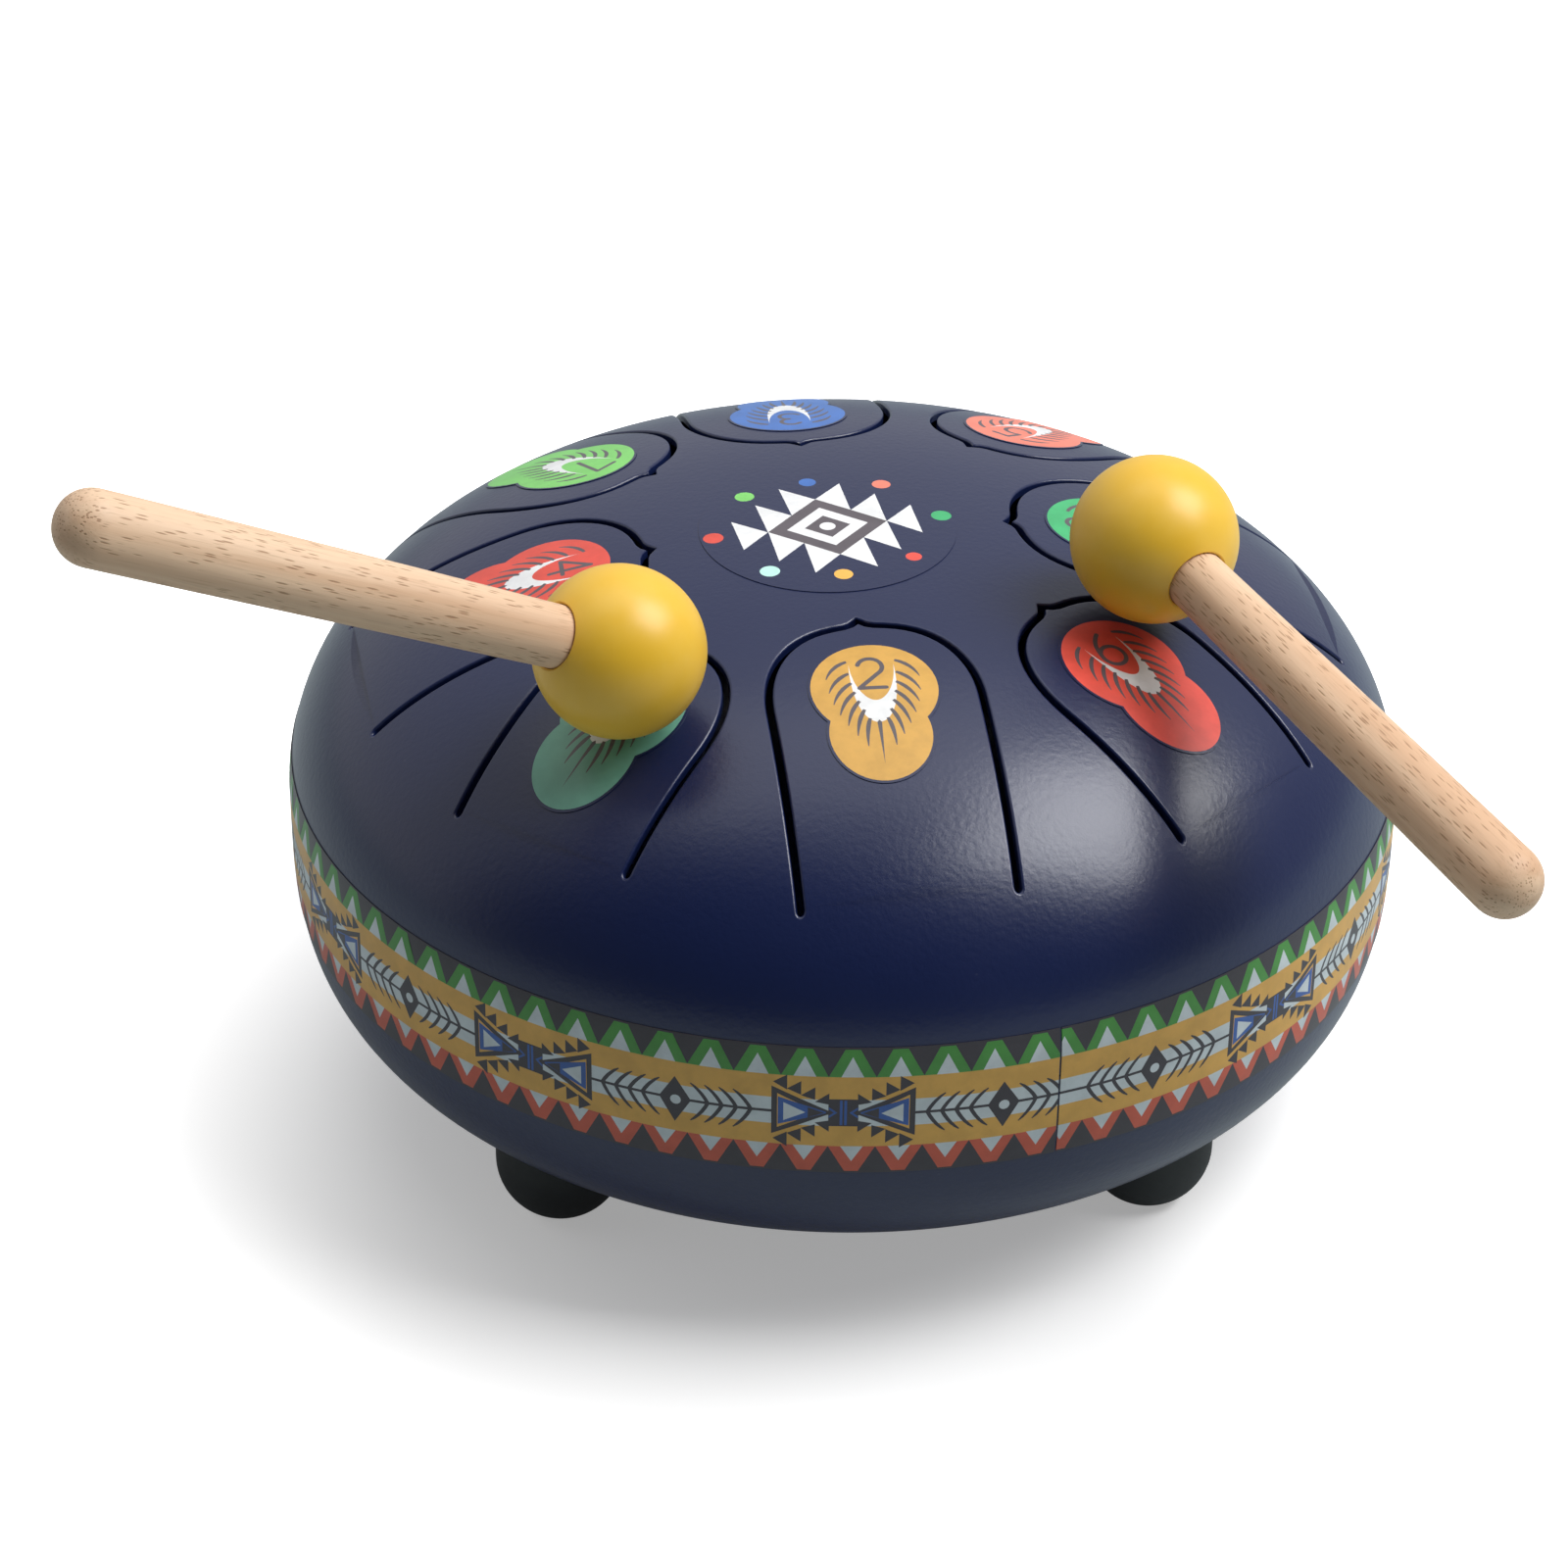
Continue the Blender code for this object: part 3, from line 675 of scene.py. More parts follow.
@dataclass
class TongueForm:
    """Where one tongue lies: its root, its direction, its reach and its half width.

    Attributes:
        number: the tongue's number.
        cut: the slot's width between the CAD solids.
        slot: its width between the finished edges' lowest points.
        arch: how far before the tip the straight legs end.
        nib: height of the small point at the tip.
        power: how square the arch's shoulders are.
    """

    number: int
    cut: float = 1.2 * MM
    slot: float = 0.95 * MM
    arch: float = 16.0 * MM
    nib: float = 1.3 * MM
    power: float = 2.5

    def __post_init__(self) -> None:
        """Read the root line from the joint, and the reach and width from the solid."""
        joint = next(j for j in frame["joints"] if j["name"] == f"tongue_{self.number}_flex")
        self.body = joint["child"]
        self.root = Vector(joint["pos_m"][:2])
        self.side = Vector(joint["axis"][:2]).normalized()
        self.out = Vector((self.side.y, -self.side.x))
        solid = frame["nodes"][f"tongue_{self.number}"]
        corners = [Vector(vertex.co[:2]) - self.root for vertex in solid.data.vertices]
        self.reach = max(-corner.dot(self.out) for corner in corners) + self.cut / 2
        self.half = max(abs(corner.dot(self.side)) for corner in corners) + self.cut / 2

    def plan(self, across: float, inward: float) -> Point:
        """World x and y of a place given across the tongue and inward from its root."""
        return tuple(self.root + self.side * across - self.out * inward)

    def middle_line(self) -> list[Point]:
        """The slot's middle line, from the left leg's end, round the tip, to the right leg's end."""
        straight = self.reach - self.arch
        side = [(self.half, straight * step / 22) for step in range(22)]
        for step in range(17):
            turn = QUARTER_TURN * (1 - step / 17)
            across = self.half * math.sin(turn) ** (2 / self.power)
            rise = (self.arch - self.nib) * math.cos(turn)
            if across > 2.9 * MM:
                side.append((across, straight + rise))
        side += [(1.95 * MM, self.reach - 1.28 * MM), (1.05 * MM, self.reach - 0.92 * MM)]
        right = side + [(0.0, self.reach)]
        left = [(-across, inward) for across, inward in side]
        return [self.plan(*place) for place in left] + [self.plan(*place) for place in reversed(right)]

    def outlines(self, distance: float) -> tuple[list[Point], list[Point]]:
        """Both sides of the slot at a distance from its middle line, closed by round ends.

        Args:
            distance: how far to either side.

        Returns:
            The tongue's side, left to right, and the rest: right end, shell's side, left end.
        """
        line = [Vector(point) for point in self.middle_line()]
        steps = [(b - a).normalized() for a, b in zip(line, line[1:])]
        inner, outer = [], []
        for index, point in enumerate(line):
            before = steps[max(index - 1, 0)]
            after = steps[min(index, len(steps) - 1)]
            along = (before + after).normalized()
            normal = Vector((along.y, -along.x))
            reach = distance / max(0.35, normal.dot(Vector((before.y, -before.x))))
            inner.append(tuple(point + normal * reach))
            outer.append(tuple(point - normal * reach))
        right_end = self._round_end(line[-1], distance)
        left_end = self._round_end(line[0], distance)
        return inner, right_end + outer[::-1] + left_end

    def _round_end(self, centre: Vector, distance: float) -> list[Point]:
        """The half circle past one leg's end, without its two ends."""
        points = []
        for step in range(1, 8):
            angle = math.pi * step / 8
            across = self.side * (-math.cos(angle) * distance)
            points.append(tuple(centre + across + self.out * (math.sin(angle) * distance)))
        return points


# ---------------------------------------------------------------------------------------------------
# Upper shell and its tongues: one plan of triangles, raised on the dome and split at the root lines
# ---------------------------------------------------------------------------------------------------

@dataclass
class SlottedDome:
    """The dome with its eight slots. Its sheet has rounded slot edges and a true thickness.

    Attributes:
        form: the shells' surfaces.
        tongues: the tongues' layout.
        rounding: radius of the slots' upper edges.
        plate_radius: where the slotted plate ends and the plain rim begins.
        turn_steps: facets in a full turn.
        ring_gap: distance between the plate's rings of points.
        margin: the least distance between a ring's point and a slot's edge.
    """

    form: DrumForm
    tongues: list[TongueForm]
    rounding: float = 0.36 * MM
    plate_radius: float = 70.0 * MM
    turn_steps: int = 240
    ring_gap: float = 1.7 * MM
    margin: float = 0.95 * MM
    row_shares: tuple[float, ...] = (0.0, 0.12, 0.34, 0.64, 1.0)

    def build(self) -> tuple[bpy.types.Object, dict[int, bpy.types.Object]]:
        """Make the shell and the tongues.

        Returns:
            The upper shell, and each tongue by its number.
        """
        points, edges, faces = self._plan()
        result = delaunay_2d_cdt(points, edges, faces, 0, 0.0001, True)
        plan = np.array([tuple(vertex) for vertex in result[0]]) * MM
        plan += np.array(self.form.centre)
        slot_faces = set(range(0, 2 * len(self.tongues), 2))
        groups: dict[int, list] = {0: []}
        for tongue in self.tongues:
            groups[tongue.number] = []
        for triangle, owners in zip(result[2], result[5]):
            owned = set(owners)
            if owned & slot_faces:
                continue
            number = 0
            for owner in owned:
                number = self.tongues[owner // 2].number
            groups[number].append(tuple(triangle))
        top, normals, low = self._raise(plan)
        reach = np.linalg.norm(plan - np.array(self.form.centre), axis=1)
        rim = set(np.flatnonzero(reach > self.plate_radius - 0.005 * MM).tolist())
        shell = self._solid("drum_upper_shell", groups[0], top, low, rim)
        tree = KDTree(len(top))
        for index, place in enumerate(top):
            tree.insert(place, index)
        tree.balance()
        tongues = {}
        for tongue in self.tongues:
            name = f"drum_tongue_{tongue.number}"
            tongues[tongue.number] = self._solid(name, groups[tongue.number], top, low, set())
            self._keep_normals(tongues[tongue.number], tree, normals)
        self._add_rim(shell)
        self._keep_normals(shell, tree, normals)
        return shell, tongues

    def _plan(self) -> tuple[list[Vector], list[tuple[int, int]], list[list[int]]]:
        """Points, kept edges and kept faces of the flat plan, in millimetres about the axis."""
        points: list[Vector] = []
        edges: list[tuple[int, int]] = []
        faces: list[list[int]] = []
        self.slot_lines: list[np.ndarray] = []
        self.middle_lines: list[np.ndarray] = []

        def add_loop(loop: Sequence[Point]) -> list[int]:
            """Add a closed loop of points and its edges."""
            start = len(points)
            for point in loop:
                points.append((Vector(point) - self.form.centre) / MM)
            numbers = list(range(start, len(points)))
            edges.extend(zip(numbers, numbers[1:] + numbers[:1]))
            return numbers

        for tongue in self.tongues:
            self.middle_lines.append(np.array(tongue.middle_line()))
            for share in self.row_shares:
                inner, rest = tongue.outlines(tongue.slot / 2 + share * self.rounding)
                numbers = add_loop(inner + rest)
                if share == 0.0:
                    self.slot_lines.append(np.array(inner + rest + inner[:1]))
                    for face in (numbers, numbers[:len(inner)]):
                        outline = [points[number] for number in face]
                        faces.append(face if signed_area(outline) > 0.0 else face[::-1])
        rim = []
        for step in range(self.turn_steps):
            angle = FULL_TURN * step / self.turn_steps
            arm = Vector((math.cos(angle), math.sin(angle))) * self.plate_radius
            rim.append(tuple(self.form.centre + arm))
        add_loop(rim)
        points.extend(self._ring_points())
        return points, edges, faces

    def _ring_points(self) -> list[Vector]:
        """Rings of points over the plate, away from every slot, in millimetres about the axis."""
        rings = int((self.plate_radius - self.ring_gap / 2) / self.ring_gap)
        places = [(0.0, 0.0)]
        for ring in range(1, rings + 1):
            radius = self.ring_gap * ring
            count = 6 * ring
            for step in range(count):
                angle = FULL_TURN * (step + 0.5 * (ring % 2)) / count
                places.append((radius * math.cos(angle), radius * math.sin(angle)))
        cloud = np.array(places) + np.array(self.form.centre)
        clear = np.full(len(cloud), np.inf)
        for line in self.slot_lines:
            distance, _ = nearest_on_line(cloud, line)
            clear = np.minimum(clear, distance)
        kept = (cloud[clear > self.margin] - np.array(self.form.centre)) / MM
        return [Vector(place) for place in kept]

    def _raise(self, plan: np.ndarray) -> tuple[np.ndarray, np.ndarray, np.ndarray]:
        """Places and normals of the sheet's upper face, and places of its lower face.

        Args:
            plan: world x and y of every point.

        Returns:
            Upper places, upper normals and lower places.
        """
        surface, normals = self.form.dome_places(plan)
        edge = np.full(len(plan), np.inf)
        middle = np.full(len(plan), np.inf)
        towards = np.zeros_like(plan)
        for slot_line, middle_line in zip(self.slot_lines, self.middle_lines):
            edge_distance, _ = nearest_on_line(plan, slot_line)
            distance, foot = nearest_on_line(plan, middle_line)
            closer = distance < middle
            arm = foot - plan
            length = np.maximum(np.hypot(arm[:, 0], arm[:, 1]), 1e-9)
            towards[closer] = (arm / length[:, None])[closer]
            middle = np.minimum(middle, distance)
            edge = np.minimum(edge, edge_distance)
        share = np.clip(1 - edge / self.rounding, 0.0, 1.0)
        drop = self.rounding * (1 - np.sqrt(np.clip(1 - share ** 2, 0.0, 1.0)))
        level = np.column_stack((towards, np.zeros(len(plan))))
        level -= normals * np.sum(level * normals, axis=1)[:, None]
        upright = np.sqrt(np.clip(1 - share ** 2, 0.0, 1.0))
        turned_normals = normals * upright[:, None] + level * share[:, None]
        turned_normals /= np.linalg.norm(turned_normals, axis=1)[:, None]
        upper = surface - normals * drop[:, None]
        lower = surface - normals * self.form.sheet
        return upper, turned_normals, lower

    @staticmethod
    def _solid(name: str, triangles: list, top: np.ndarray, low: np.ndarray, rim: set[int]
               ) -> bpy.types.Object:
        """A sheet from its plan triangles, closed all round but along the rim.

        Args:
            name: the piece's name.
            triangles: corners of each upper triangle, by number.
            top: places of the upper face.
            low: places of the lower face.
            rim: points where the sheet runs on into the plain rim, so it has no edge wall.

        Returns:
            The piece.
        """
        used = sorted({corner for triangle in triangles for corner in triangle})
        number = {corner: index for index, corner in enumerate(used)}
        count = len(used)
        upper = [tuple(number[corner] for corner in triangle) for triangle in triangles]
        centre_side = [oriented_up(triangle, top[used]) for triangle in upper]
        faces = list(centre_side)
        faces += [tuple(corner + count for corner in reversed(face)) for face in centre_side]
        seen: dict[tuple[int, int], int] = {}
        for face in centre_side:
            for a, b in zip(face, face[1:] + face[:1]):
                seen[(a, b)] = seen.get((a, b), 0) + 1
        for a, b in list(seen):
            if (b, a) not in seen and not {used[a], used[b]} <= rim:
                faces.append((b, a, a + count, b + count))
        mesh = bpy.data.meshes.new(name)
        places = np.vstack((top[used], low[used]))
        mesh.from_pydata([tuple(place) for place in places], [], faces)
        mesh.shade_smooth()
        piece = bpy.data.objects.new(name, mesh)
        bpy.context.scene.collection.objects.link(piece)
        return piece

    def _add_rim(self, shell: bpy.types.Object) -> None:
        """Join the plain rim to the slotted plate, along one shared circle."""
        form = self.form
        first = math.asin((self.plate_radius / form.radius) ** (form.dome_side / 2))
        angles = [first + (QUARTER_TURN - first) * step / 26 for step in range(26)]
        out, up = form.dome_lean(np.array([self.plate_radius]))
        start = (self.plate_radius, float(form.dome_height(np.array([self.plate_radius]))[0]))
        outer = [start] + [form.dome_angle_point(angle) for angle in angles[1:]]
        outer += [(form.radius, form.seam + form.wall_up), (form.radius, form.seam + 0.1 * MM)]
        inner_radius = form.radius - form.sheet
        inner = [(inner_radius, form.seam + 0.1 * MM), (inner_radius, form.seam + form.wall_up)]
        inner += [form.dome_angle_point(angle, -form.sheet) for angle in reversed(angles[1:])]
        inner.append((start[0] - form.sheet * float(out[0]), start[1] - form.sheet * float(up[0])))
        rim = turned("drum_rim", outer + inner, self.turn_steps, tuple(form.centre))
        deselect_all()
        rim.select_set(True)
        shell.select_set(True)
        bpy.context.view_layer.objects.active = shell
        bpy.ops.object.join()
        edit_all(shell)
        bpy.ops.mesh.remove_doubles(threshold=0.000004)
        bpy.ops.object.mode_set(mode="OBJECT")

    @staticmethod
    def _keep_normals(piece: bpy.types.Object, tree: KDTree, normals: np.ndarray) -> None:
        """Shade the upper face by the dome's own normals, and the rest by its faces.

        Args:
            piece: the shell or a tongue.
            tree: places of all the upper face's points.
            normals: the shading normal of each of them.
        """
        pick(piece)
        bpy.ops.object.shade_smooth_by_angle(angle=math.radians(40))
        mesh = piece.data
        vectors = np.zeros((len(mesh.vertices), 3))
        owned = np.zeros(len(mesh.vertices), dtype=bool)
        for vertex in mesh.vertices:
            _, index, distance = tree.find(vertex.co)
            if distance < 0.006 * MM:
                owned[vertex.index] = True
                vectors[vertex.index] = normals[index]
        face_up = np.zeros(3 * len(mesh.polygons))
        mesh.polygons.foreach_get("normal", face_up)
        face_up = face_up.reshape(-1, 3)
        custom = np.zeros((len(mesh.loops), 3))
        for polygon in mesh.polygons:
            direction = face_up[polygon.index]
            for loop in polygon.loop_indices:
                vertex = mesh.loops[loop].vertex_index
                if owned[vertex] and vectors[vertex].dot(direction) > 0.35:
                    custom[loop] = vectors[vertex]
        mesh.normals_split_custom_set([tuple(normal) for normal in custom])


def oriented_up(face: tuple[int, ...], places: np.ndarray) -> tuple[int, ...]:
    """The face's corners in the order that makes it look up."""
    a, b, c = (places[corner] for corner in face[:3])
    turn = (b[0] - a[0]) * (c[1] - a[1]) - (b[1] - a[1]) * (c[0] - a[0])
    return face if turn > 0 else tuple(reversed(face))


def nearest_on_line(points: np.ndarray, line: np.ndarray) -> tuple[np.ndarray, np.ndarray]:
    """Distance from points to a line of straight stretches.

    Args:
        points: x and y, one row each.
        line: the line's corners.

    Returns:
        Each point's distance, infinite when far away, and the nearest place on the line.
    """
    low = line.min(axis=0) - 4 * MM
    high = line.max(axis=0) + 4 * MM
    near = np.all((points > low) & (points < high), axis=1)
    distance = np.full(len(points), np.inf)
    foot = np.zeros_like(points)
    chosen = points[near]
    best = np.full(len(chosen), np.inf)
    best_foot = np.zeros_like(chosen)
    for a, b in zip(line, line[1:]):
        along = b - a
        share = np.clip((chosen - a) @ along / max(along @ along, 1e-16), 0.0, 1.0)
        place = a + share[:, None] * along
        gap = np.hypot(*(chosen - place).T)
        closer = gap < best
        best[closer] = gap[closer]
        best_foot[closer] = place[closer]
    distance[near] = best
    foot[near] = best_foot
    return distance, foot


# ---------------------------------------------------------------------------------------------------
# Printed film: flat shapes in painter's order, split into clean triangles and laid on a surface
# ---------------------------------------------------------------------------------------------------

Wrap = Callable[[np.ndarray, float], tuple[np.ndarray, np.ndarray]]


def signed_area(shape: Sequence[Point]) -> float:
    """A flat shape's area, above 0 when its corners go anticlockwise."""
    following = list(shape[1:]) + [shape[0]]
    return sum(a[0] * b[1] - a[1] * b[0] for a, b in zip(shape, following)) / 2


class Artwork:
    """Flat shapes in millimetres, each painted over those before it, on one base shape."""

    def __init__(self, ink: Ink, *grounds: Sequence[Point]) -> None:
        """Start with the film's ground colour and the shapes that make up its outline."""
        self.shapes: list[Sequence[Point]] = list(grounds)
        self.inks: list[Ink] = [ink] * len(grounds)
        self.grounds = set(range(len(grounds)))

    def paint(self, ink: Ink, *shapes: Sequence[Point]) -> None:
        """Paint shapes over what is there."""
        for shape in shapes:
            self.shapes.append(shape)
            self.inks.append(ink)

    def split(self, pitch: float) -> tuple[np.ndarray, list[tuple[int, ...]], list[Ink]]:
        """Cut the artwork into triangles of one ink each.

        Args:
            pitch: distance between the extra points that let the film bend.

        Returns:
            Points, triangles that turn anticlockwise, and each triangle's ink.
        """
        points: list[Vector] = []
        faces = []
        for shape in self.shapes:
            numbers = list(range(len(points), len(points) + len(shape)))
            points.extend(Vector(point) for point in shape)
            faces.append(numbers if signed_area(shape) > 0 else numbers[::-1])
        outline = np.array([point for number in self.grounds for point in self.shapes[number]])
        low, high = outline.min(axis=0), outline.max(axis=0)
        columns = max(1, round((high[0] - low[0]) / pitch))
        rows = max(1, round((high[1] - low[1]) / pitch))
        for column in range(columns + 1):
            for row in range(rows + 1):
                share = np.array([column / columns, row / rows])
                points.append(Vector(low + (high - low) * share))
        result = delaunay_2d_cdt(points, [], faces, 1, 0.0002, True)
        plan = np.array([tuple(vertex) for vertex in result[0]])
        triangles, inks = [], []
        for corners, owners in zip(result[2], result[5]):
            if not self.grounds & set(owners):
                continue
            a, b, c = (plan[corner] for corner in corners[:3])
            turn = (b[0] - a[0]) * (c[1] - a[1]) - (b[1] - a[1]) * (c[0] - a[0])
            if abs(turn) < 1e-7:
                continue
            triangles.append(tuple(corners) if turn > 0 else tuple(reversed(corners)))
            inks.append(self.inks[max(owners)])
        return plan, triangles, inks


def film_mesh(name: str, plan: np.ndarray, triangles: list[tuple[int, ...]], inks: list[Ink],
              wrap: Wrap, low: float, high: float) -> bpy.types.Object:
    """Lay a cut artwork on a surface as one closed film.

    Args:
        name: the piece's name.
        plan: flat points.
        triangles: corners of each triangle.
        inks: ink of each triangle.
        wrap: puts flat points on the surface at a distance from it.
        low: the distance of the film's back.
        high: the distance of its face.

    Returns:
        The film, with a material for each ink.
    """
    used = sorted({corner for triangle in triangles for corner in triangle})
    number = {corner: index for index, corner in enumerate(used)}
    count = len(used)
    chosen = plan[used]
    face_places, normals = wrap(chosen, high)
    back_places, _ = wrap(chosen, low)
    face = [tuple(number[corner] for corner in triangle) for triangle in triangles]
    faces = list(face) + [tuple(corner + count for corner in reversed(item)) for item in face]
    palette = list(dict.fromkeys(inks))
    slots = [palette.index(ink) for ink in inks] * 2
    edges = {}
    for item, ink in zip(face, inks):
        for a, b in zip(item, item[1:] + item[:1]):
            edges[(a, b)] = ink
    for (a, b), ink in edges.items():
        if (b, a) not in edges:
            faces.append((b, a, a + count, b + count))
            slots.append(palette.index(ink))
    mesh = bpy.data.meshes.new(name)
    mesh.from_pydata([tuple(p) for p in np.vstack((face_places, back_places))], [], faces)
    for ink in palette:
        mesh.materials.append(PAINTS.get(ink.film()))
    mesh.polygons.foreach_set("material_index", slots)
    mesh.shade_smooth()
    mesh.update()
    custom = np.zeros((len(mesh.loops), 3))
    for index, item in enumerate(face):
        start = mesh.polygons[index].loop_start
        for offset in range(len(item)):
            custom[start + offset] = normals[mesh.loops[start + offset].vertex_index]
    for index in range(len(face), len(faces)):
        polygon = mesh.polygons[index]
        for loop in polygon.loop_indices:
            custom[loop] = tuple(polygon.normal)
    mesh.normals_split_custom_set([tuple(normal) for normal in custom])
    piece = bpy.data.objects.new(name, mesh)
    bpy.context.scene.collection.objects.link(piece)
    return piece


@dataclass
class Numeral:
    """A thin rounded figure, drawn as one stroke."""

    value: int
    width: float = 3.5
    height: float = 5.7
    stroke: float = 0.62

    def path(self) -> list[Point]:
        """The figure's middle line round its own centre, in millimetres."""
        w = self.width / 2
        h = self.height / 2
        paths = {
            1: [(-0.55 * w, 0.55 * h), (0.15 * w, h), (0.15 * w, -h)],
            2: arc((0.0, h - w), 0.92 * w, 165, -35, 12) + [(-w, -h), (w, -h)],
            3: (arc((0.0, 0.5 * h), 0.5 * h, 150, -80, 11)
                + arc((0.0, -0.47 * h), 0.53 * h, 80, -150, 12)),
            4: [(0.45 * w, -h), (0.45 * w, h), (-w, -0.38 * h), (w, -0.38 * h)],
            5: ([(0.8 * w, h), (-0.65 * w, h), (-0.8 * w, 0.12 * h)]
                + arc((-0.05 * w, -0.36 * h), 0.62 * h, 125, -145, 14)),
            6: (curve_points((0.6 * w, h), (-0.75 * w, 0.55 * h), (-0.95 * w, -0.35 * h), 7)
                + arc((0.0, -0.4 * h), 0.6 * h, 175, 535, 20)),
            7: [(-w, h), (w, h), (-0.2 * w, -h)],
            8: (arc((0.0, 0.5 * h), 0.5 * h, -90, 270, 18)
                + arc((0.0, -0.5 * h), 0.52 * h, 90, 450, 18)),
        }
        return paths[self.value]

    def shapes(self, centre: Point) -> list[list[Point]]:
        """The figure's shapes about a place."""
        path = [(x + centre[0], y + centre[1]) for x, y in self.path()]
        shapes = ribbon(path, [self.stroke] * len(path))
        for end in (path[0], path[-1]):
            shapes.append(arc(end, self.stroke / 2, 0, 315, 7))
        return shapes


@dataclass
class TongueSticker:
    """The sticker on a tongue: two lobes, a numeral, a crescent, and fine curved feathering."""

    tongue: TongueForm
    form: DrumForm
    ink: Ink
    tip_gap: float = 14.0
    spacing: float = 7.9
    big: float = 8.3
    small: Point = (6.65, 7.2)
    margin: float = 0.35
    turn: float = -3.0
    strokes: int = 7
    back: float = 0.03 * MM
    face: float = 0.11 * MM

    def build(self) -> bpy.types.Object:
        """Make the sticker."""
        art = Artwork(Ink.CLEAR, *self._lobes(self.margin))
        art.paint(self.ink, *self._lobes(0.0))
        art.paint(Ink.WHITE, self._crescent())
        for side in (-1, 1):
            for index in range(self.strokes):
                art.paint(Ink.SLATE, *self._feather(side, index / (self.strokes - 1)))
        art.paint(Ink.SLATE, [(-0.3, -6.1), (0.0, -12.7), (0.3, -6.1), (0.0, -5.7)])
        art.paint(Ink.SLATE, *Numeral(self.tongue.number).shapes((-0.2, 2.8)))
        plan, triangles, inks = art.split(1.1)
        name = f"tongue_sticker_{self.tongue.number}_film"
        return film_mesh(name, plan, triangles, inks, self._wrap, self.back, self.face)

    def _lobes(self, margin: float) -> tuple[list[Point], list[Point]]:
        """The round lobe and the longer one below it, larger by a margin."""
        wide, tall = self.small[0] + margin, self.small[1] + margin
        unit = arc((0.0, 0.0), 1.0, 0, 354, 59)
        low = [(x * wide, y * tall - self.spacing) for x, y in unit]
        return [(x * (self.big + margin), y * (self.big + margin)) for x, y in unit], low

    @staticmethod
    def _crescent() -> list[Point]:
        """The pale crescent round the numeral."""
        outer, inner = [], []
        for step in range(29):
            angle = math.pi * step / 28
            lift = math.sin(angle)
            outer.append((2.95 * math.cos(angle) * (1 + 0.17 * lift), 4.4 - 10.5 * lift ** 0.9))
            inner.append((2.95 * math.cos(angle) * (1 - 0.16 * lift), 4.4 - 6.7 * lift ** 0.8))
        return outer + inner[-2:0:-1]

    @staticmethod
    def _feather(side: int, share: float) -> list[list[Point]]:
        """One curved stroke beside the crescent, from its top to its bottom."""
        fall = share ** 0.85
        start = (side * 3.15 * math.cos(1.2 * share), 5.1 - 10.5 * fall)
        end = (side * 6.1 * math.cos(1.27 * share), 1.9 - 11.8 * fall)
        middle = ((start[0] + end[0]) / 2, (start[1] + end[1]) / 2)
        bulge = 0.75 * (1 - 0.5 * share)
        control = (middle[0] + side * bulge * 0.9, middle[1] + bulge)
        path = curve_points(start, control, end, 6)
        widths = [0.42, 0.56, 0.60, 0.54, 0.44, 0.30, 0.12]
        return ribbon(path, widths)

    def _wrap(self, points: np.ndarray, lift: float) -> tuple[np.ndarray, np.ndarray]:
        """Lay points on the dome, at the tongue's own place and direction."""
        turn = math.radians(self.turn)
        x = points[:, 0] * math.cos(turn) - points[:, 1] * math.sin(turn)
        y = points[:, 0] * math.sin(turn) + points[:, 1] * math.cos(turn)
        tongue = self.tongue
        centre = np.array(tongue.plan(0.0, tongue.reach - self.tip_gap * MM))
        side, inward = np.array(tongue.side), -np.array(tongue.out)
        plan = centre + np.outer(x, side) * MM + np.outer(y, inward) * MM
        return self.form.dome_places(plan, lift)


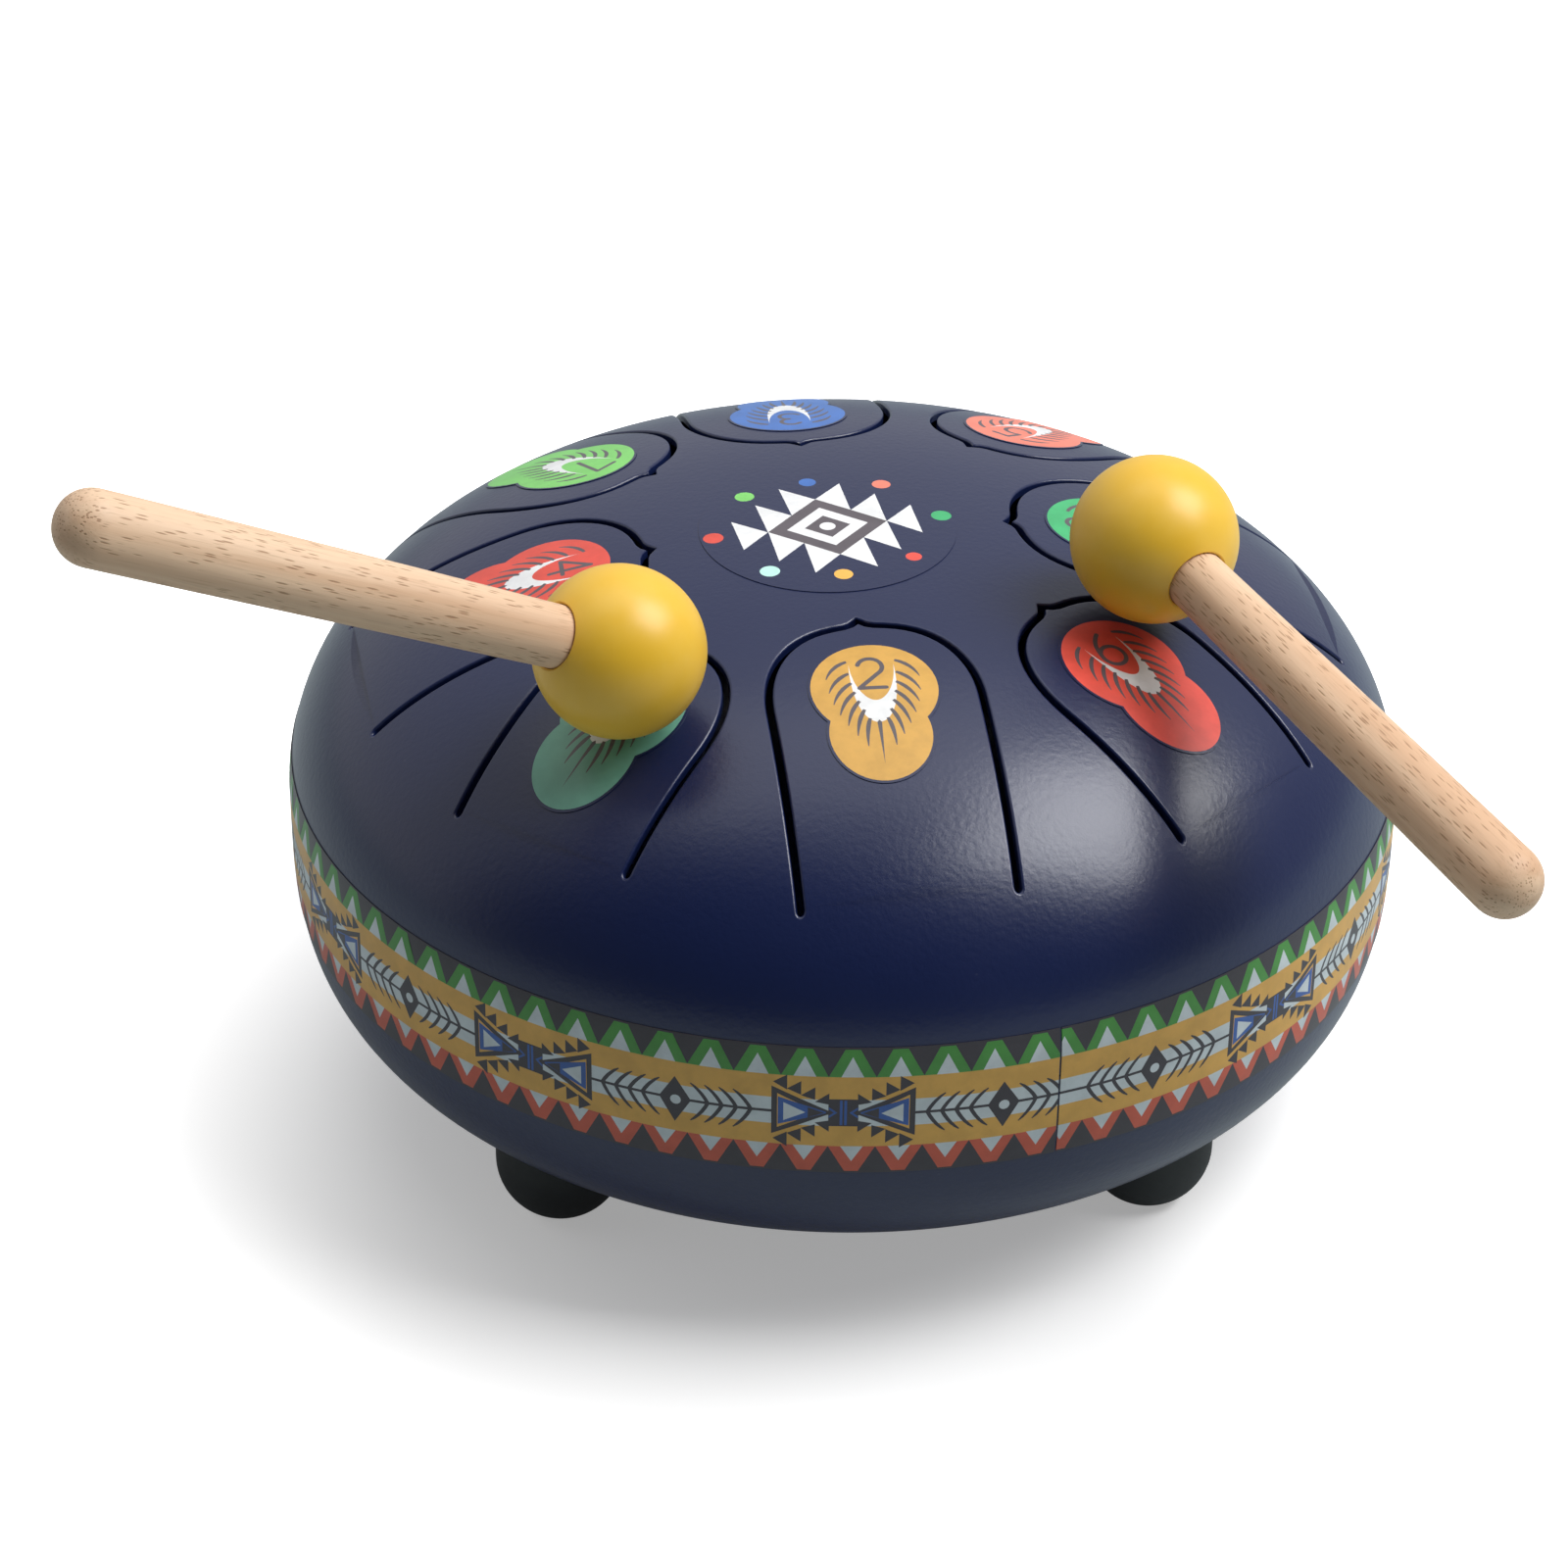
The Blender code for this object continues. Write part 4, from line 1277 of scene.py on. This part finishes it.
@dataclass
class CentreSticker:
    """The round clear sticker in the middle: a tilted square with saw-teeth, and eight dots."""

    form: DrumForm
    centre: Vector
    radius: float = 17.6
    side: float = 11.5
    tilt: float = -31.0
    rings: tuple[tuple[float, Ink], ...] = ((1.0, Ink.SLATE), (0.68, Ink.WHITE), (0.385, Ink.SLATE))
    hub: float = 1.1
    back: float = 0.03 * MM
    face: float = 0.10 * MM
    dots: tuple[tuple[float, float, float, Ink], ...] = (
        (103.0, 13.3, 1.20, Ink.BLUE), (60.4, 14.7, 1.30, Ink.SALMON), (14.4, 16.0, 1.40, Ink.GREEN),
        (-33.8, 14.1, 1.10, Ink.RED), (-79.9, 13.2, 1.28, Ink.SUN), (-121.4, 14.5, 1.36, Ink.PALE_MINT),
        (-168.0, 15.8, 1.40, Ink.VERMILION), (143.5, 14.4, 1.36, Ink.LIME))

    def build(self) -> bpy.types.Object:
        """Make the sticker."""
        art = Artwork(Ink.CLEAR, arc((0.0, 0.0), self.radius, 0, 356, 89))
        for edge, spikes, upper in ((0, (0, 1), False), (1, (0, 1), True), (2, (0, 1), False),
                                    (3, (0, 1), True)):
            for spike in spikes:
                art.paint(Ink.WHITE, self._spike(edge, spike, upper))
        art.paint(Ink.WHITE, self._spike(3, -1, True), self._spike(0, 2, False))
        for share, ink in self.rings:
            art.paint(ink, self._square(share))
        art.paint(Ink.WHITE, arc((0.0, 0.0), self.hub, 0, 345, 23))
        for angle, distance, radius, ink in self.dots:
            turn = math.radians(angle)
            place = (distance * math.cos(turn), distance * math.sin(turn))
            art.paint(ink, arc(place, radius, 0, 350, 35))
        plan, triangles, inks = art.split(1.4)
        return film_mesh("centre_sticker_film", plan, triangles, inks, self._wrap, self.back,
                         self.face)

    def _axes(self) -> tuple[Vector, Vector]:
        """The square's two directions, down to the right and up to the right."""
        down = math.radians(self.tilt)
        up = math.radians(self.tilt + 90.0 - 2.0)
        return Vector((math.cos(down), math.sin(down))), Vector((math.cos(up), math.sin(up)))

    def _square(self, share: float) -> list[Point]:
        """The square at a share of its size."""
        down, up = self._axes()
        half = self.side / 2 * share
        return [tuple(-down * half - up * half), tuple(down * half - up * half),
                tuple(down * half + up * half), tuple(-down * half + up * half)]

    def _spike(self, edge: int, place: int, late: bool) -> list[Point]:
        """One saw-tooth on an edge of the square.

        Args:
            edge: 0 upper right, 1 lower right, 2 lower left, 3 upper left.
            place: which half of the edge, counted along it, or a place just beyond it.
            late: whether its point stands over the end of its base, and not the start.

        Returns:
            The saw-tooth's corners.
        """
        down, up = self._axes()
        half = self.side / 2
        starts = (up * half - down * half, down * half + up * half, down * half - up * half,
                  -down * half - up * half)
        alongs = (down, -up, -down, up)
        outs = (up, down, -up, -down)
        start, along, out = starts[edge], alongs[edge], outs[edge]
        step = half * 0.99
        base = start + along * (half * place)
        foot = base + along * (step if late else 0.0)
        return [tuple(base), tuple(base + along * step), tuple(foot + out * (half * 1.03))]

    def _wrap(self, points: np.ndarray, lift: float) -> tuple[np.ndarray, np.ndarray]:
        """Lay points on the crown of the dome."""
        return self.form.dome_places(np.array(self.centre) + points * MM, lift)


@dataclass
class BandSticker:
    """The border round the seam: saw-teeth, ochre and pale stripes, bow-ties and feathers.

    Lengths are in millimetres along the drum's side and up from the seam.
    """

    form: DrumForm
    top: float = 7.2
    bottom: float = -12.1
    teeth: int = 7
    period: float = 31.285
    first_bow: float = 47.9
    start: float = 21.65
    gap: float = 0.20
    tooth_shift: float = 1.1
    feather_shift: float = 20.55
    middle: float = -2.48
    back: float = 0.02 * MM
    face: float = 0.12 * MM

    def build(self) -> bpy.types.Object:
        """Make the whole border, one repeat after another."""
        length = self._length(self.period)
        whole = self._length(360.0 - self.gap)
        begin = self._length(self.start - self.first_bow)
        numbers: dict[tuple[int, int], int] = {}
        plan: list[Point] = []
        triangles: list[tuple[int, ...]] = []
        inks: list[Ink] = []
        done = 0.0
        full = self._repeat(begin, length, length, (-1, 0, 1))
        while done < whole - 1e-6:
            rest = whole - done
            points, corners, colours = full
            if done == 0.0:
                points, corners, colours = self._repeat(begin, length, length, (0, 1))
            elif rest <= length:
                points, corners, colours = self._repeat(begin, rest, length, (-1, 0, 1))
            for item, colour in zip(corners, colours):
                named = []
                for corner in item:
                    place = (points[corner][0] + done, points[corner][1])
                    key = (round(place[0] * 500), round(place[1] * 500))
                    if key not in numbers:
                        numbers[key] = len(plan)
                        plan.append(place)
                    named.append(numbers[key])
                if len(set(named)) == 3:
                    triangles.append(tuple(named))
                    inks.append(colour)
            done += length
        return film_mesh("band_sticker_film", np.array(plan), triangles, inks, self._wrap,
                         self.back, self.face)

    def _length(self, degrees: float) -> float:
        """Millimetres along the side for an angle."""
        return math.radians(degrees) * self.form.radius / MM

    def _repeat(self, begin: float, width: float, length: float, ties: Sequence[int]
                ) -> tuple[np.ndarray, list[tuple[int, ...]], list[Ink]]:
        """One repeat of the border, or a part of it.

        Args:
            begin: where it starts, from the middle of a bow-tie.
            width: how long it is.
            length: a full repeat.
            ties: the repeats that have a bow-tie; the first one starts without the last one's end.

        Returns:
            Points, triangles and their inks.
        """
        end = begin + width
        art = Artwork(Ink.PLUM, [(begin, self.bottom), (end, self.bottom), (end, self.top),
                                 (begin, self.top)])
        art.paint(Ink.OCHRE, [(begin, -7.74), (end, -7.74), (end, 3.02), (begin, 3.02)])
        art.paint(Ink.PALE, [(begin, -4.57), (end, -4.57), (end, -0.5), (begin, -0.5)])
        pitch = length / self.teeth
        for number in range(-6, 2 * self.teeth):
            self._tooth(art, self.tooth_shift + number * pitch, pitch)
        for repeat in (-1, 0, 1):
            self._feathers(art, self.feather_shift + repeat * length, length)
        for repeat in ties:
            self._bow_tie(art, repeat * length)
        return art.split(1.55)

    @staticmethod
    def _tooth(art: Artwork, x: float, pitch: float) -> None:
        """The green tooth over the stripes and the red one under them."""
        half = pitch / 2
        art.paint(Ink.LEAF, [(x - half, 3.02), (x + half, 3.02), (x + 0.97, 6.95), (x - 0.97, 6.95)])
        art.paint(Ink.PALE, [(x - 1.44, 3.02), (x + 1.44, 3.02), (x, 5.95)])
        art.paint(Ink.BRICK, [(x - half, -7.74), (x - 0.88, -11.8), (x + 0.88, -11.8),
                              (x + half, -7.74)])
        art.paint(Ink.PALE, [(x - 1.44, -7.74), (x, -10.15), (x + 1.44, -7.74)])

    def _feathers(self, art: Artwork, x: float, length: float) -> None:
        """The diamond, and the barbed line to both sides of it."""
        line = self.middle - 0.15
        for side in (-1, 1):
            ends = sorted((x, x + side * (length / 2 + 1.0)))
            art.paint(Ink.PLUM, [(ends[0], line - 0.2), (ends[1], line - 0.2), (ends[1], line + 0.2),
                                 (ends[0], line + 0.2)])
            for barb in range(4):
                foot = x + side * (9.9 - 1.85 * barb)
                for rise in (2.75, -3.1):
                    end = (foot - side * 2.3, line + rise)
                    control = (foot - side * 0.85, line + rise * 0.62)
                    path = curve_points((foot, line), control, end, 5)
                    art.paint(Ink.PLUM, *ribbon(path, [0.52, 0.52, 0.50, 0.46, 0.38, 0.16]))
        art.paint(Ink.PLUM, [(x - 2.1, line), (x, line - 3.65), (x + 2.15, line), (x, line + 3.4)])
        art.paint(Ink.PALE, arc((x + 0.1, line - 0.2), 0.72, 0, 330, 11))

    def _bow_tie(self, art: Artwork, x: float) -> None:
        """The stepped bow-tie."""
        z = self.middle
        for side in (-1, 1):
            for flip in (-1, 1):
                for tooth in range(4):
                    tip = -8.96 + 1.78 * tooth
                    corners = ((tip, 4.4 - 0.93 * tooth), (tip + 1.82, 5.6 - 0.87 * tooth),
                               (tip + 1.82, 3.27 - 0.68 * tooth))
                    art.paint(Ink.PLUM, [(x + side * a, z + flip * b) for a, b in corners])
            layers = ((Ink.PLUM, ((-9.13, 3.75), (-9.13, -3.7), (-1.3, 0.0))),
                      (Ink.OCHRE, ((-8.4, 2.65), (-8.4, -2.65), (-5.2, -1.0), (-5.2, 1.0))),
                      (Ink.DEEP_BLUE, ((-8.3, 2.15), (-8.3, -2.15), (-2.2, -0.1), (-2.2, 0.1))),
                      (Ink.PALE, ((-7.6, 1.3), (-7.6, -1.5), (-4.8, -0.1))),
                      (Ink.PLUM, ((-4.5, 0.72), (-4.5, -0.85), (-2.4, -0.06))))
            for ink, corners in layers:
                art.paint(ink, [(x + side * a, z + b) for a, b in corners])
        art.paint(Ink.PLUM, [(x - 1.9, z - 2.1), (x + 1.9, z - 2.1), (x + 1.9, z + 2.08),
                             (x - 1.9, z + 2.08)])
        for side in (-1, 1):
            art.paint(Ink.DEEP_BLUE, [(x - side * 1.85, z + 0.85), (x - side * 0.75, z),
                                      (x - side * 1.85, z - 0.85), (x - side * 1.85, z - 0.5),
                                      (x - side * 1.2, z), (x - side * 1.85, z + 0.5)])
            bar = x + side * 0.28
            art.paint(Ink.DEEP_BLUE, [(bar - 0.17, z - 1.9), (bar + 0.17, z - 1.9),
                                      (bar + 0.17, z + 1.9), (bar - 0.17, z + 1.9)])

    def _wrap(self, points: np.ndarray, lift: float) -> tuple[np.ndarray, np.ndarray]:
        """Lay points round the shells' sides."""
        angle = math.radians(self.first_bow) + points[:, 0] * MM / self.form.radius
        height = self.form.seam + points[:, 1] * MM
        step = 0.05 * MM
        radius = np.array([self.form.wall_radius(value) for value in height])
        upper = np.array([self.form.wall_radius(value + step) for value in height])
        lower = np.array([self.form.wall_radius(value - step) for value in height])
        slope = (upper - lower) / (2 * step)
        length = np.hypot(1.0, slope)
        out = np.column_stack((np.sin(angle), -np.cos(angle)))
        normals = np.column_stack((out / length[:, None], -slope / length))
        places = np.column_stack((np.array(self.form.centre) + out * radius[:, None], height))
        return places + normals * lift, normals


# ---------------------------------------------------------------------------------------------------
# Lower shell, feet and screws
# ---------------------------------------------------------------------------------------------------

@dataclass
class LowerShell:
    """The bowl, with a rolled sound hole in its bottom."""

    form: DrumForm
    hole: float = 17.0 * MM
    turn_steps: int = 216
    rows: int = 26

    def build(self) -> bpy.types.Object:
        """Make the bowl."""
        form = self.form
        angles = self._angles()
        outer = [(form.radius, form.seam - 0.1 * MM), (form.radius, form.seam - form.wall_down)]
        outer += [form.bowl_point(angle) for angle in angles]
        inner = [form.bowl_point(angle, -form.sheet) for angle in reversed(angles)]
        inner += [(form.radius - form.sheet, form.seam - form.wall_down),
                  (form.radius - form.sheet, form.seam - 0.1 * MM)]
        middle = ((outer[-1][0] + inner[0][0]) / 2, (outer[-1][1] + inner[0][1]) / 2)
        roll = arc(middle, form.sheet / 2, 270, 90, 8)[1:-1]
        profile = outer + roll + inner + outer[:1]
        shell = turned("drum_lower_shell", profile, self.turn_steps, tuple(form.centre))
        shell.data.materials.append(PAINTS.get(NAVY))
        return shell

    def _angles(self) -> list[float]:
        """Steps of the meridian, from the rim to the sound hole, close together where it bends."""
        form = self.form
        last = math.asin((self.hole / form.radius) ** (form.bowl_side / 2))
        even = [last + (QUARTER_TURN - last) * step / self.rows for step in range(self.rows)]
        steep = [math.acos((step / self.rows) ** (form.bowl_crown / 2)) for step in range(1, self.rows)]
        chosen: list[float] = []
        for angle in sorted(even + steep, reverse=True):
            if angle >= last and (not chosen or chosen[-1] - angle > 0.004):
                chosen.append(angle)
        if chosen[-1] - last > 1e-6:
            chosen.append(last)
        return chosen


@dataclass
class Foot:
    """A domed rubber foot, moulded to the bowl, with a recess for its screw."""

    form: DrumForm
    number: int
    flat: float = 4.4 * MM
    recess: float = 3.0 * MM
    recess_depth: float = 2.4 * MM
    edge: float = 0.35 * MM
    turn_steps: int = 72

    def __post_init__(self) -> None:
        """Read the foot's place and radius from its solid."""
        low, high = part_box(f"foot_{self.number}")
        self.centre = ((low[0] + high[0]) / 2, (low[1] + high[1]) / 2)
        self.radius = (high[0] - low[0]) / 2
        self.top = high[2]

    def build(self) -> bpy.types.Object:
        """Make the foot."""
        r, top = self.radius, self.top + 1.5 * MM
        shoulder = math.sqrt(r ** 2 - self.flat ** 2)
        profile = [(0.0, top), (0.3 * r, top), (0.6 * r, top), (0.85 * r, top), (r, top)]
        levels = 6
        for level in range(1, levels):
            profile.append((r, top + (shoulder - top) * level / levels))
        last = math.degrees(math.acos(self.flat / r))
        profile += arc((0.0, shoulder), r, 0, -last, 18)
        profile += arc((self.recess + self.edge, self.edge), self.edge, 270, 180, 4)
        profile += [(self.recess, self.recess_depth), (0.0, self.recess_depth)]
        piece = turned(f"foot_{self.number}_rubber", profile, self.turn_steps, self.centre)
        for vertex in piece.data.vertices:
            arm = (Vector(vertex.co[:2]) - self.form.centre).length
            vertex.co.z = min(vertex.co.z, self.form.bowl_height(arm) - 0.04 * MM)
        piece.data.materials.append(PAINTS.get(BLACK_RUBBER))
        return piece


@dataclass
class FootScrew:
    """A pan-head screw with a cross recess, its head down in the foot's recess."""

    number: int
    head: float = 2.6 * MM
    head_height: float = 1.5 * MM
    shank: float = 1.5 * MM
    thread: float = 0.22 * MM
    pitch: float = 0.9 * MM
    slot_width: float = 0.62 * MM
    slot_length: float = 3.1 * MM
    slot_depth: float = 0.8 * MM

    def __post_init__(self) -> None:
        """Read the screw's place from its solid."""
        low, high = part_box(f"foot_screw_{self.number}")
        self.centre = ((low[0] + high[0]) / 2, (low[1] + high[1]) / 2)
        self.low, self.high = low[2], high[2]

    def build(self) -> bpy.types.Object:
        """Make the screw."""
        shoulder = self.low + self.head_height
        profile: list[Point] = [(0.0, self.high), (self.shank * 0.55, self.high - 0.5 * MM)]
        height = self.high - 1.3 * MM
        while height - self.pitch > shoulder + 0.6 * MM:
            profile += [(self.shank, height), (self.shank - self.thread, height - self.pitch / 2)]
            height -= self.pitch
        profile += [(self.shank, shoulder), (self.head, shoulder)]
        profile += [(self.head, shoulder - 0.45 * MM)]
        for step in range(1, 9):
            angle = QUARTER_TURN * step / 8
            fall = (self.head_height - 0.45 * MM) * math.sin(angle)
            profile.append((self.head * math.cos(angle) ** 0.7, shoulder - 0.45 * MM - fall))
        screw = turned(f"foot_{self.number}_screw", profile, 40, self.centre)
        for turn in (0.0, QUARTER_TURN):
            self._cut(screw, turn)
        screw.data.materials.append(PAINTS.get(ZINC))
        return screw

    def _cut(self, screw: bpy.types.Object, turn: float) -> None:
        """Cut one bar of the cross from the head."""
        deselect_all()
        place = (*self.centre, self.low + self.slot_depth / 2 - 0.2 * MM)
        bpy.ops.mesh.primitive_cube_add(size=1.0, location=place, rotation=(0.0, 0.0, turn + 0.4))
        bar = bpy.context.object
        bar.scale = (self.slot_length, self.slot_width, self.slot_depth + 0.4 * MM)
        pick(screw)
        cut = screw.modifiers.new("cross", "BOOLEAN")
        cut.object = bar
        bpy.ops.object.modifier_apply(modifier=cut.name)
        bpy.data.objects.remove(bar)


# ---------------------------------------------------------------------------------------------------
# Mallets
# ---------------------------------------------------------------------------------------------------

@dataclass
class Mallet:
    """A moulded ball on a turned beech stick, lying as the frame has it."""

    side: str
    neck: float = 4.0 * MM
    end: float = 4.74 * MM
    fit: float = 0.13 * MM
    lip: float = 0.35 * MM
    stick_start: float = 3.2 * MM
    gate: float = 1.4 * MM
    gate_depth: float = 0.22 * MM
    tip_zone: float = 6.5005 * MM
    shorter: float = 0.20 * MM

    def __post_init__(self) -> None:
        """Read the ball's middle and radius, and the stick's direction and length."""
        solid = frame["nodes"][f"mallet_{self.side}_stick"]
        low, high = (Vector(corner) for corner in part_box(f"mallet_{self.side}_head"))
        self.centre = (low + high) / 2
        self.radius = min(high - low) / 2
        corners = [vertex.co.copy() for vertex in solid.data.vertices]
        far = max(corners, key=lambda corner: (corner - self.centre).length)
        axis = (far - self.centre).normalized()
        for _ in range(3):
            reach = max((corner - self.centre).dot(axis) for corner in corners)
            tip = [c for c in corners if (c - self.centre).dot(axis) > reach - self.tip_zone]
            axis = (sum(tip, Vector()) / len(tip) - self.centre).normalized()
        self.axis = axis
        self.length = max((corner - self.centre).dot(axis) for corner in corners) - self.shorter

    def build(self) -> tuple[bpy.types.Object, bpy.types.Object]:
        """Make the ball and the stick."""
        ball = self._ball()
        stick = self._stick()
        turn = self.axis.to_track_quat("Z", "Y").to_matrix().to_4x4()
        place = Matrix.Translation(self.centre) @ turn
        ball.data.materials.append(PAINTS.get(YELLOW_RUBBER))
        stick.data.materials.append(PAINTS.get(BEECH))
        kept = stick.data.attributes.new(BEECH.attribute, "FLOAT_VECTOR", "POINT")
        shift = 0.4 if self.side == "left" else 0.9
        step = Vector((shift, shift, 0.0))
        values = [part for vertex in stick.data.vertices for part in vertex.co + step]
        kept.data.foreach_set("vector", values)
        for piece in (ball, stick):
            piece.data.transform(place)
        return ball, stick

    def _ball(self) -> bpy.types.Object:
        """The ball, with a bore for the stick and a gate mark on the far side."""
        bore = self.neck + self.fit
        mouth = math.degrees(math.asin((bore + self.lip) / self.radius))
        rim = math.cos(math.radians(mouth)) * self.radius
        floor = self.stick_start - 0.4 * MM
        profile: list[Point] = [(0.0, floor), (bore, floor)]
        profile += [(bore, rim - self.lip), (bore + 0.10 * MM, rim - 0.12 * MM)]
        profile += arc((0.0, 0.0), self.radius, 90 - mouth, -81, 88)
        dimple = -self.radius + self.gate_depth
        profile += [(self.gate, -self.radius * 0.9915), (self.gate * 0.86, dimple), (0.0, dimple)]
        return turned(f"mallet_{self.side}_ball", profile, 160)

    def _stick(self) -> bpy.types.Object:
        """The stick, a slow taper with a rounded end."""
        cap = self.end * 0.98
        shoulder = self.length - cap
        profile: list[Point] = []
        for step in range(19):
            angle = QUARTER_TURN * step / 18
            profile.append((self.end * math.sin(angle) ** 0.92, shoulder + cap * math.cos(angle)))
        rows = 40
        for row in range(1, rows + 1):
            share = row / rows
            height = shoulder + (self.stick_start - shoulder) * share
            swell = self.end + (self.neck - self.end) * share ** 1.25
            profile.append((swell, height))
        profile.append((0.0, self.stick_start))
        return turned(f"mallet_{self.side}_handle", profile, 96)


# ---------------------------------------------------------------------------------------------------
# Studio
# ---------------------------------------------------------------------------------------------------

@dataclass
class Softbox:
    """One soft area lamp."""

    name: str
    place: tuple[float, float, float]
    aim: tuple[float, float, float]
    size: tuple[float, float]
    power: float

    def hang(self) -> None:
        """Add the lamp."""
        lamp = bpy.data.lights.new(self.name, "AREA")
        lamp.shape = "RECTANGLE"
        lamp.size, lamp.size_y = self.size
        lamp.energy = self.power
        holder = bpy.data.objects.new(self.name, lamp)
        holder.location = self.place
        direction = Vector(self.aim) - Vector(self.place)
        holder.rotation_euler = direction.to_track_quat("-Z", "Y").to_euler()
        bpy.context.scene.collection.objects.link(holder)


@dataclass
class Studio:
    """The floor, the room's light, the lamps and the camera."""

    floor_size: float = 12.0
    room: float = 0.82
    gloom: float = 0.05
    lamps: tuple[Softbox, ...] = (
        Softbox("key_box", (0.70, -0.02, 1.02), (0.0, 0.0, 0.04), (0.72, 0.72), 14.5),
        Softbox("top_box", (-0.10, 0.30, 1.25), (0.0, 0.0, 0.04), (1.1, 0.7), 2.5),
    )
    eye: tuple[float, float, float] = (3.9 * MM, -522.58 * MM, 368.6 * MM)
    eye_turn: tuple[float, float, float] = (58.194, -0.547, 1.224)
    lens: float = 100.94

    def build(self) -> None:
        """Set everything up round the object."""
        bpy.ops.mesh.primitive_plane_add(size=self.floor_size, location=(0.0, 0.0, 0.0))
        floor = bpy.context.object
        floor.name = "studio_floor"
        floor.data.materials.append(PAINTS.get(StudioPaper()))
        for lamp in self.lamps:
            lamp.hang()
        self._room()
        bpy.context.scene.view_settings.view_transform = "Standard"
        self._camera()

    def _room(self) -> None:
        """Bright behind and over the object, dim in front of it and rather dim at its right."""
        bench = Bench("studio_room_plan")
        world = bpy.data.worlds.new("studio_room")
        world.use_nodes = True
        bench.tree = world.node_tree
        bench.tree.nodes.clear()
        way = bench.node("ShaderNodeTexCoord", output="Generated")
        split = bench.node("ShaderNodeSeparateXYZ", {}, {"Vector": way})
        across = Signal(bench, split.socket.node.outputs["Y"])
        side = Signal(bench, split.socket.node.outputs["X"])
        sweep = across.step(-0.42, 0.05) * (1 - side.step(0.35, 0.95) * 0.6)
        strength = sweep * (self.room - self.gloom) + self.gloom
        seen = bench.node("ShaderNodeLightPath", output="Is Camera Ray")
        strength = strength * (1 - seen) + seen
        light = bench.node("ShaderNodeBackground", {}, {"Strength": strength})
        output = bench.tree.nodes.new("ShaderNodeOutputWorld")
        bench.tree.links.new(light.socket, output.inputs["Surface"])
        bpy.data.materials.remove(bench.material)
        bpy.context.scene.world = world

    def _camera(self) -> None:
        """Stand the camera."""
        camera = bpy.data.cameras.new("studio_camera")
        camera.lens = self.lens
        camera.sensor_width = 36.0
        camera.clip_start = 0.01
        camera.clip_end = 50.0
        holder = bpy.data.objects.new("studio_camera", camera)
        holder.location = self.eye
        holder.rotation_euler = tuple(math.radians(angle) for angle in self.eye_turn)
        bpy.context.scene.collection.objects.link(holder)
        bpy.context.scene.camera = holder


# ---------------------------------------------------------------------------------------------------
# Assembly
# ---------------------------------------------------------------------------------------------------

TONGUE_INKS = {1: Ink.MINT, 2: Ink.OCHRE, 3: Ink.BLUE, 4: Ink.VERMILION, 5: Ink.SALMON, 6: Ink.RED,
               7: Ink.LIME, 8: Ink.GREEN}
PATTERN_SHIFT = Vector((-2.6, -0.5)) * MM


def settle(piece: bpy.types.Object, body: str, node: str) -> None:
    """Let a piece stand for its CAD node and move with its body."""
    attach(piece, body)
    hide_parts(node)
    LOG.info("%s: %d faces, on %s", piece.name, len(piece.data.polygons), body)


def build_drum(form: DrumForm, tongues: list[TongueForm]) -> None:
    """Make the shells, the tongues and their prints."""
    shell, plates = SlottedDome(form, tongues).build()
    shell.data.materials.append(PAINTS.get(NAVY))
    settle(shell, "drum", "upper_shell")
    for tongue in tongues:
        plate = plates[tongue.number]
        plate.data.materials.append(PAINTS.get(NAVY))
        settle(plate, tongue.body, f"tongue_{tongue.number}")
        film = TongueSticker(tongue, form, TONGUE_INKS[tongue.number]).build()
        settle(film, tongue.body, f"tongue_sticker_{tongue.number}")
    settle(LowerShell(form).build(), "drum", "lower_shell")
    centre = CentreSticker(form, form.centre + PATTERN_SHIFT).build()
    settle(centre, "drum", "centre_sticker")
    settle(BandSticker(form).build(), "drum", "band_sticker")
    frame["nodes"]["rim_ring"].material_slots[0].material = PAINTS.get(BARE_STEEL)


def build_feet(form: DrumForm) -> None:
    """Make the feet and their screws."""
    for number in range(1, 5):
        settle(Foot(form, number).build(), "drum", f"foot_{number}")
        settle(FootScrew(number).build(), "drum", f"foot_screw_{number}")


def build_mallets() -> None:
    """Make both mallets."""
    for side in ("left", "right"):
        ball, stick = Mallet(side).build()
        settle(ball, f"mallet_{side}", f"mallet_{side}_head")
        settle(stick, f"mallet_{side}", f"mallet_{side}_stick")


def main() -> None:
    """Build the object, then the studio."""
    logging.basicConfig(level=logging.INFO, format="%(message)s")
    form = DrumForm()
    tongues = [TongueForm(number) for number in sorted(TONGUE_INKS)]
    build_drum(form, tongues)
    build_feet(form)
    build_mallets()
    Studio().build()


if __name__ == "__main__":
    main()
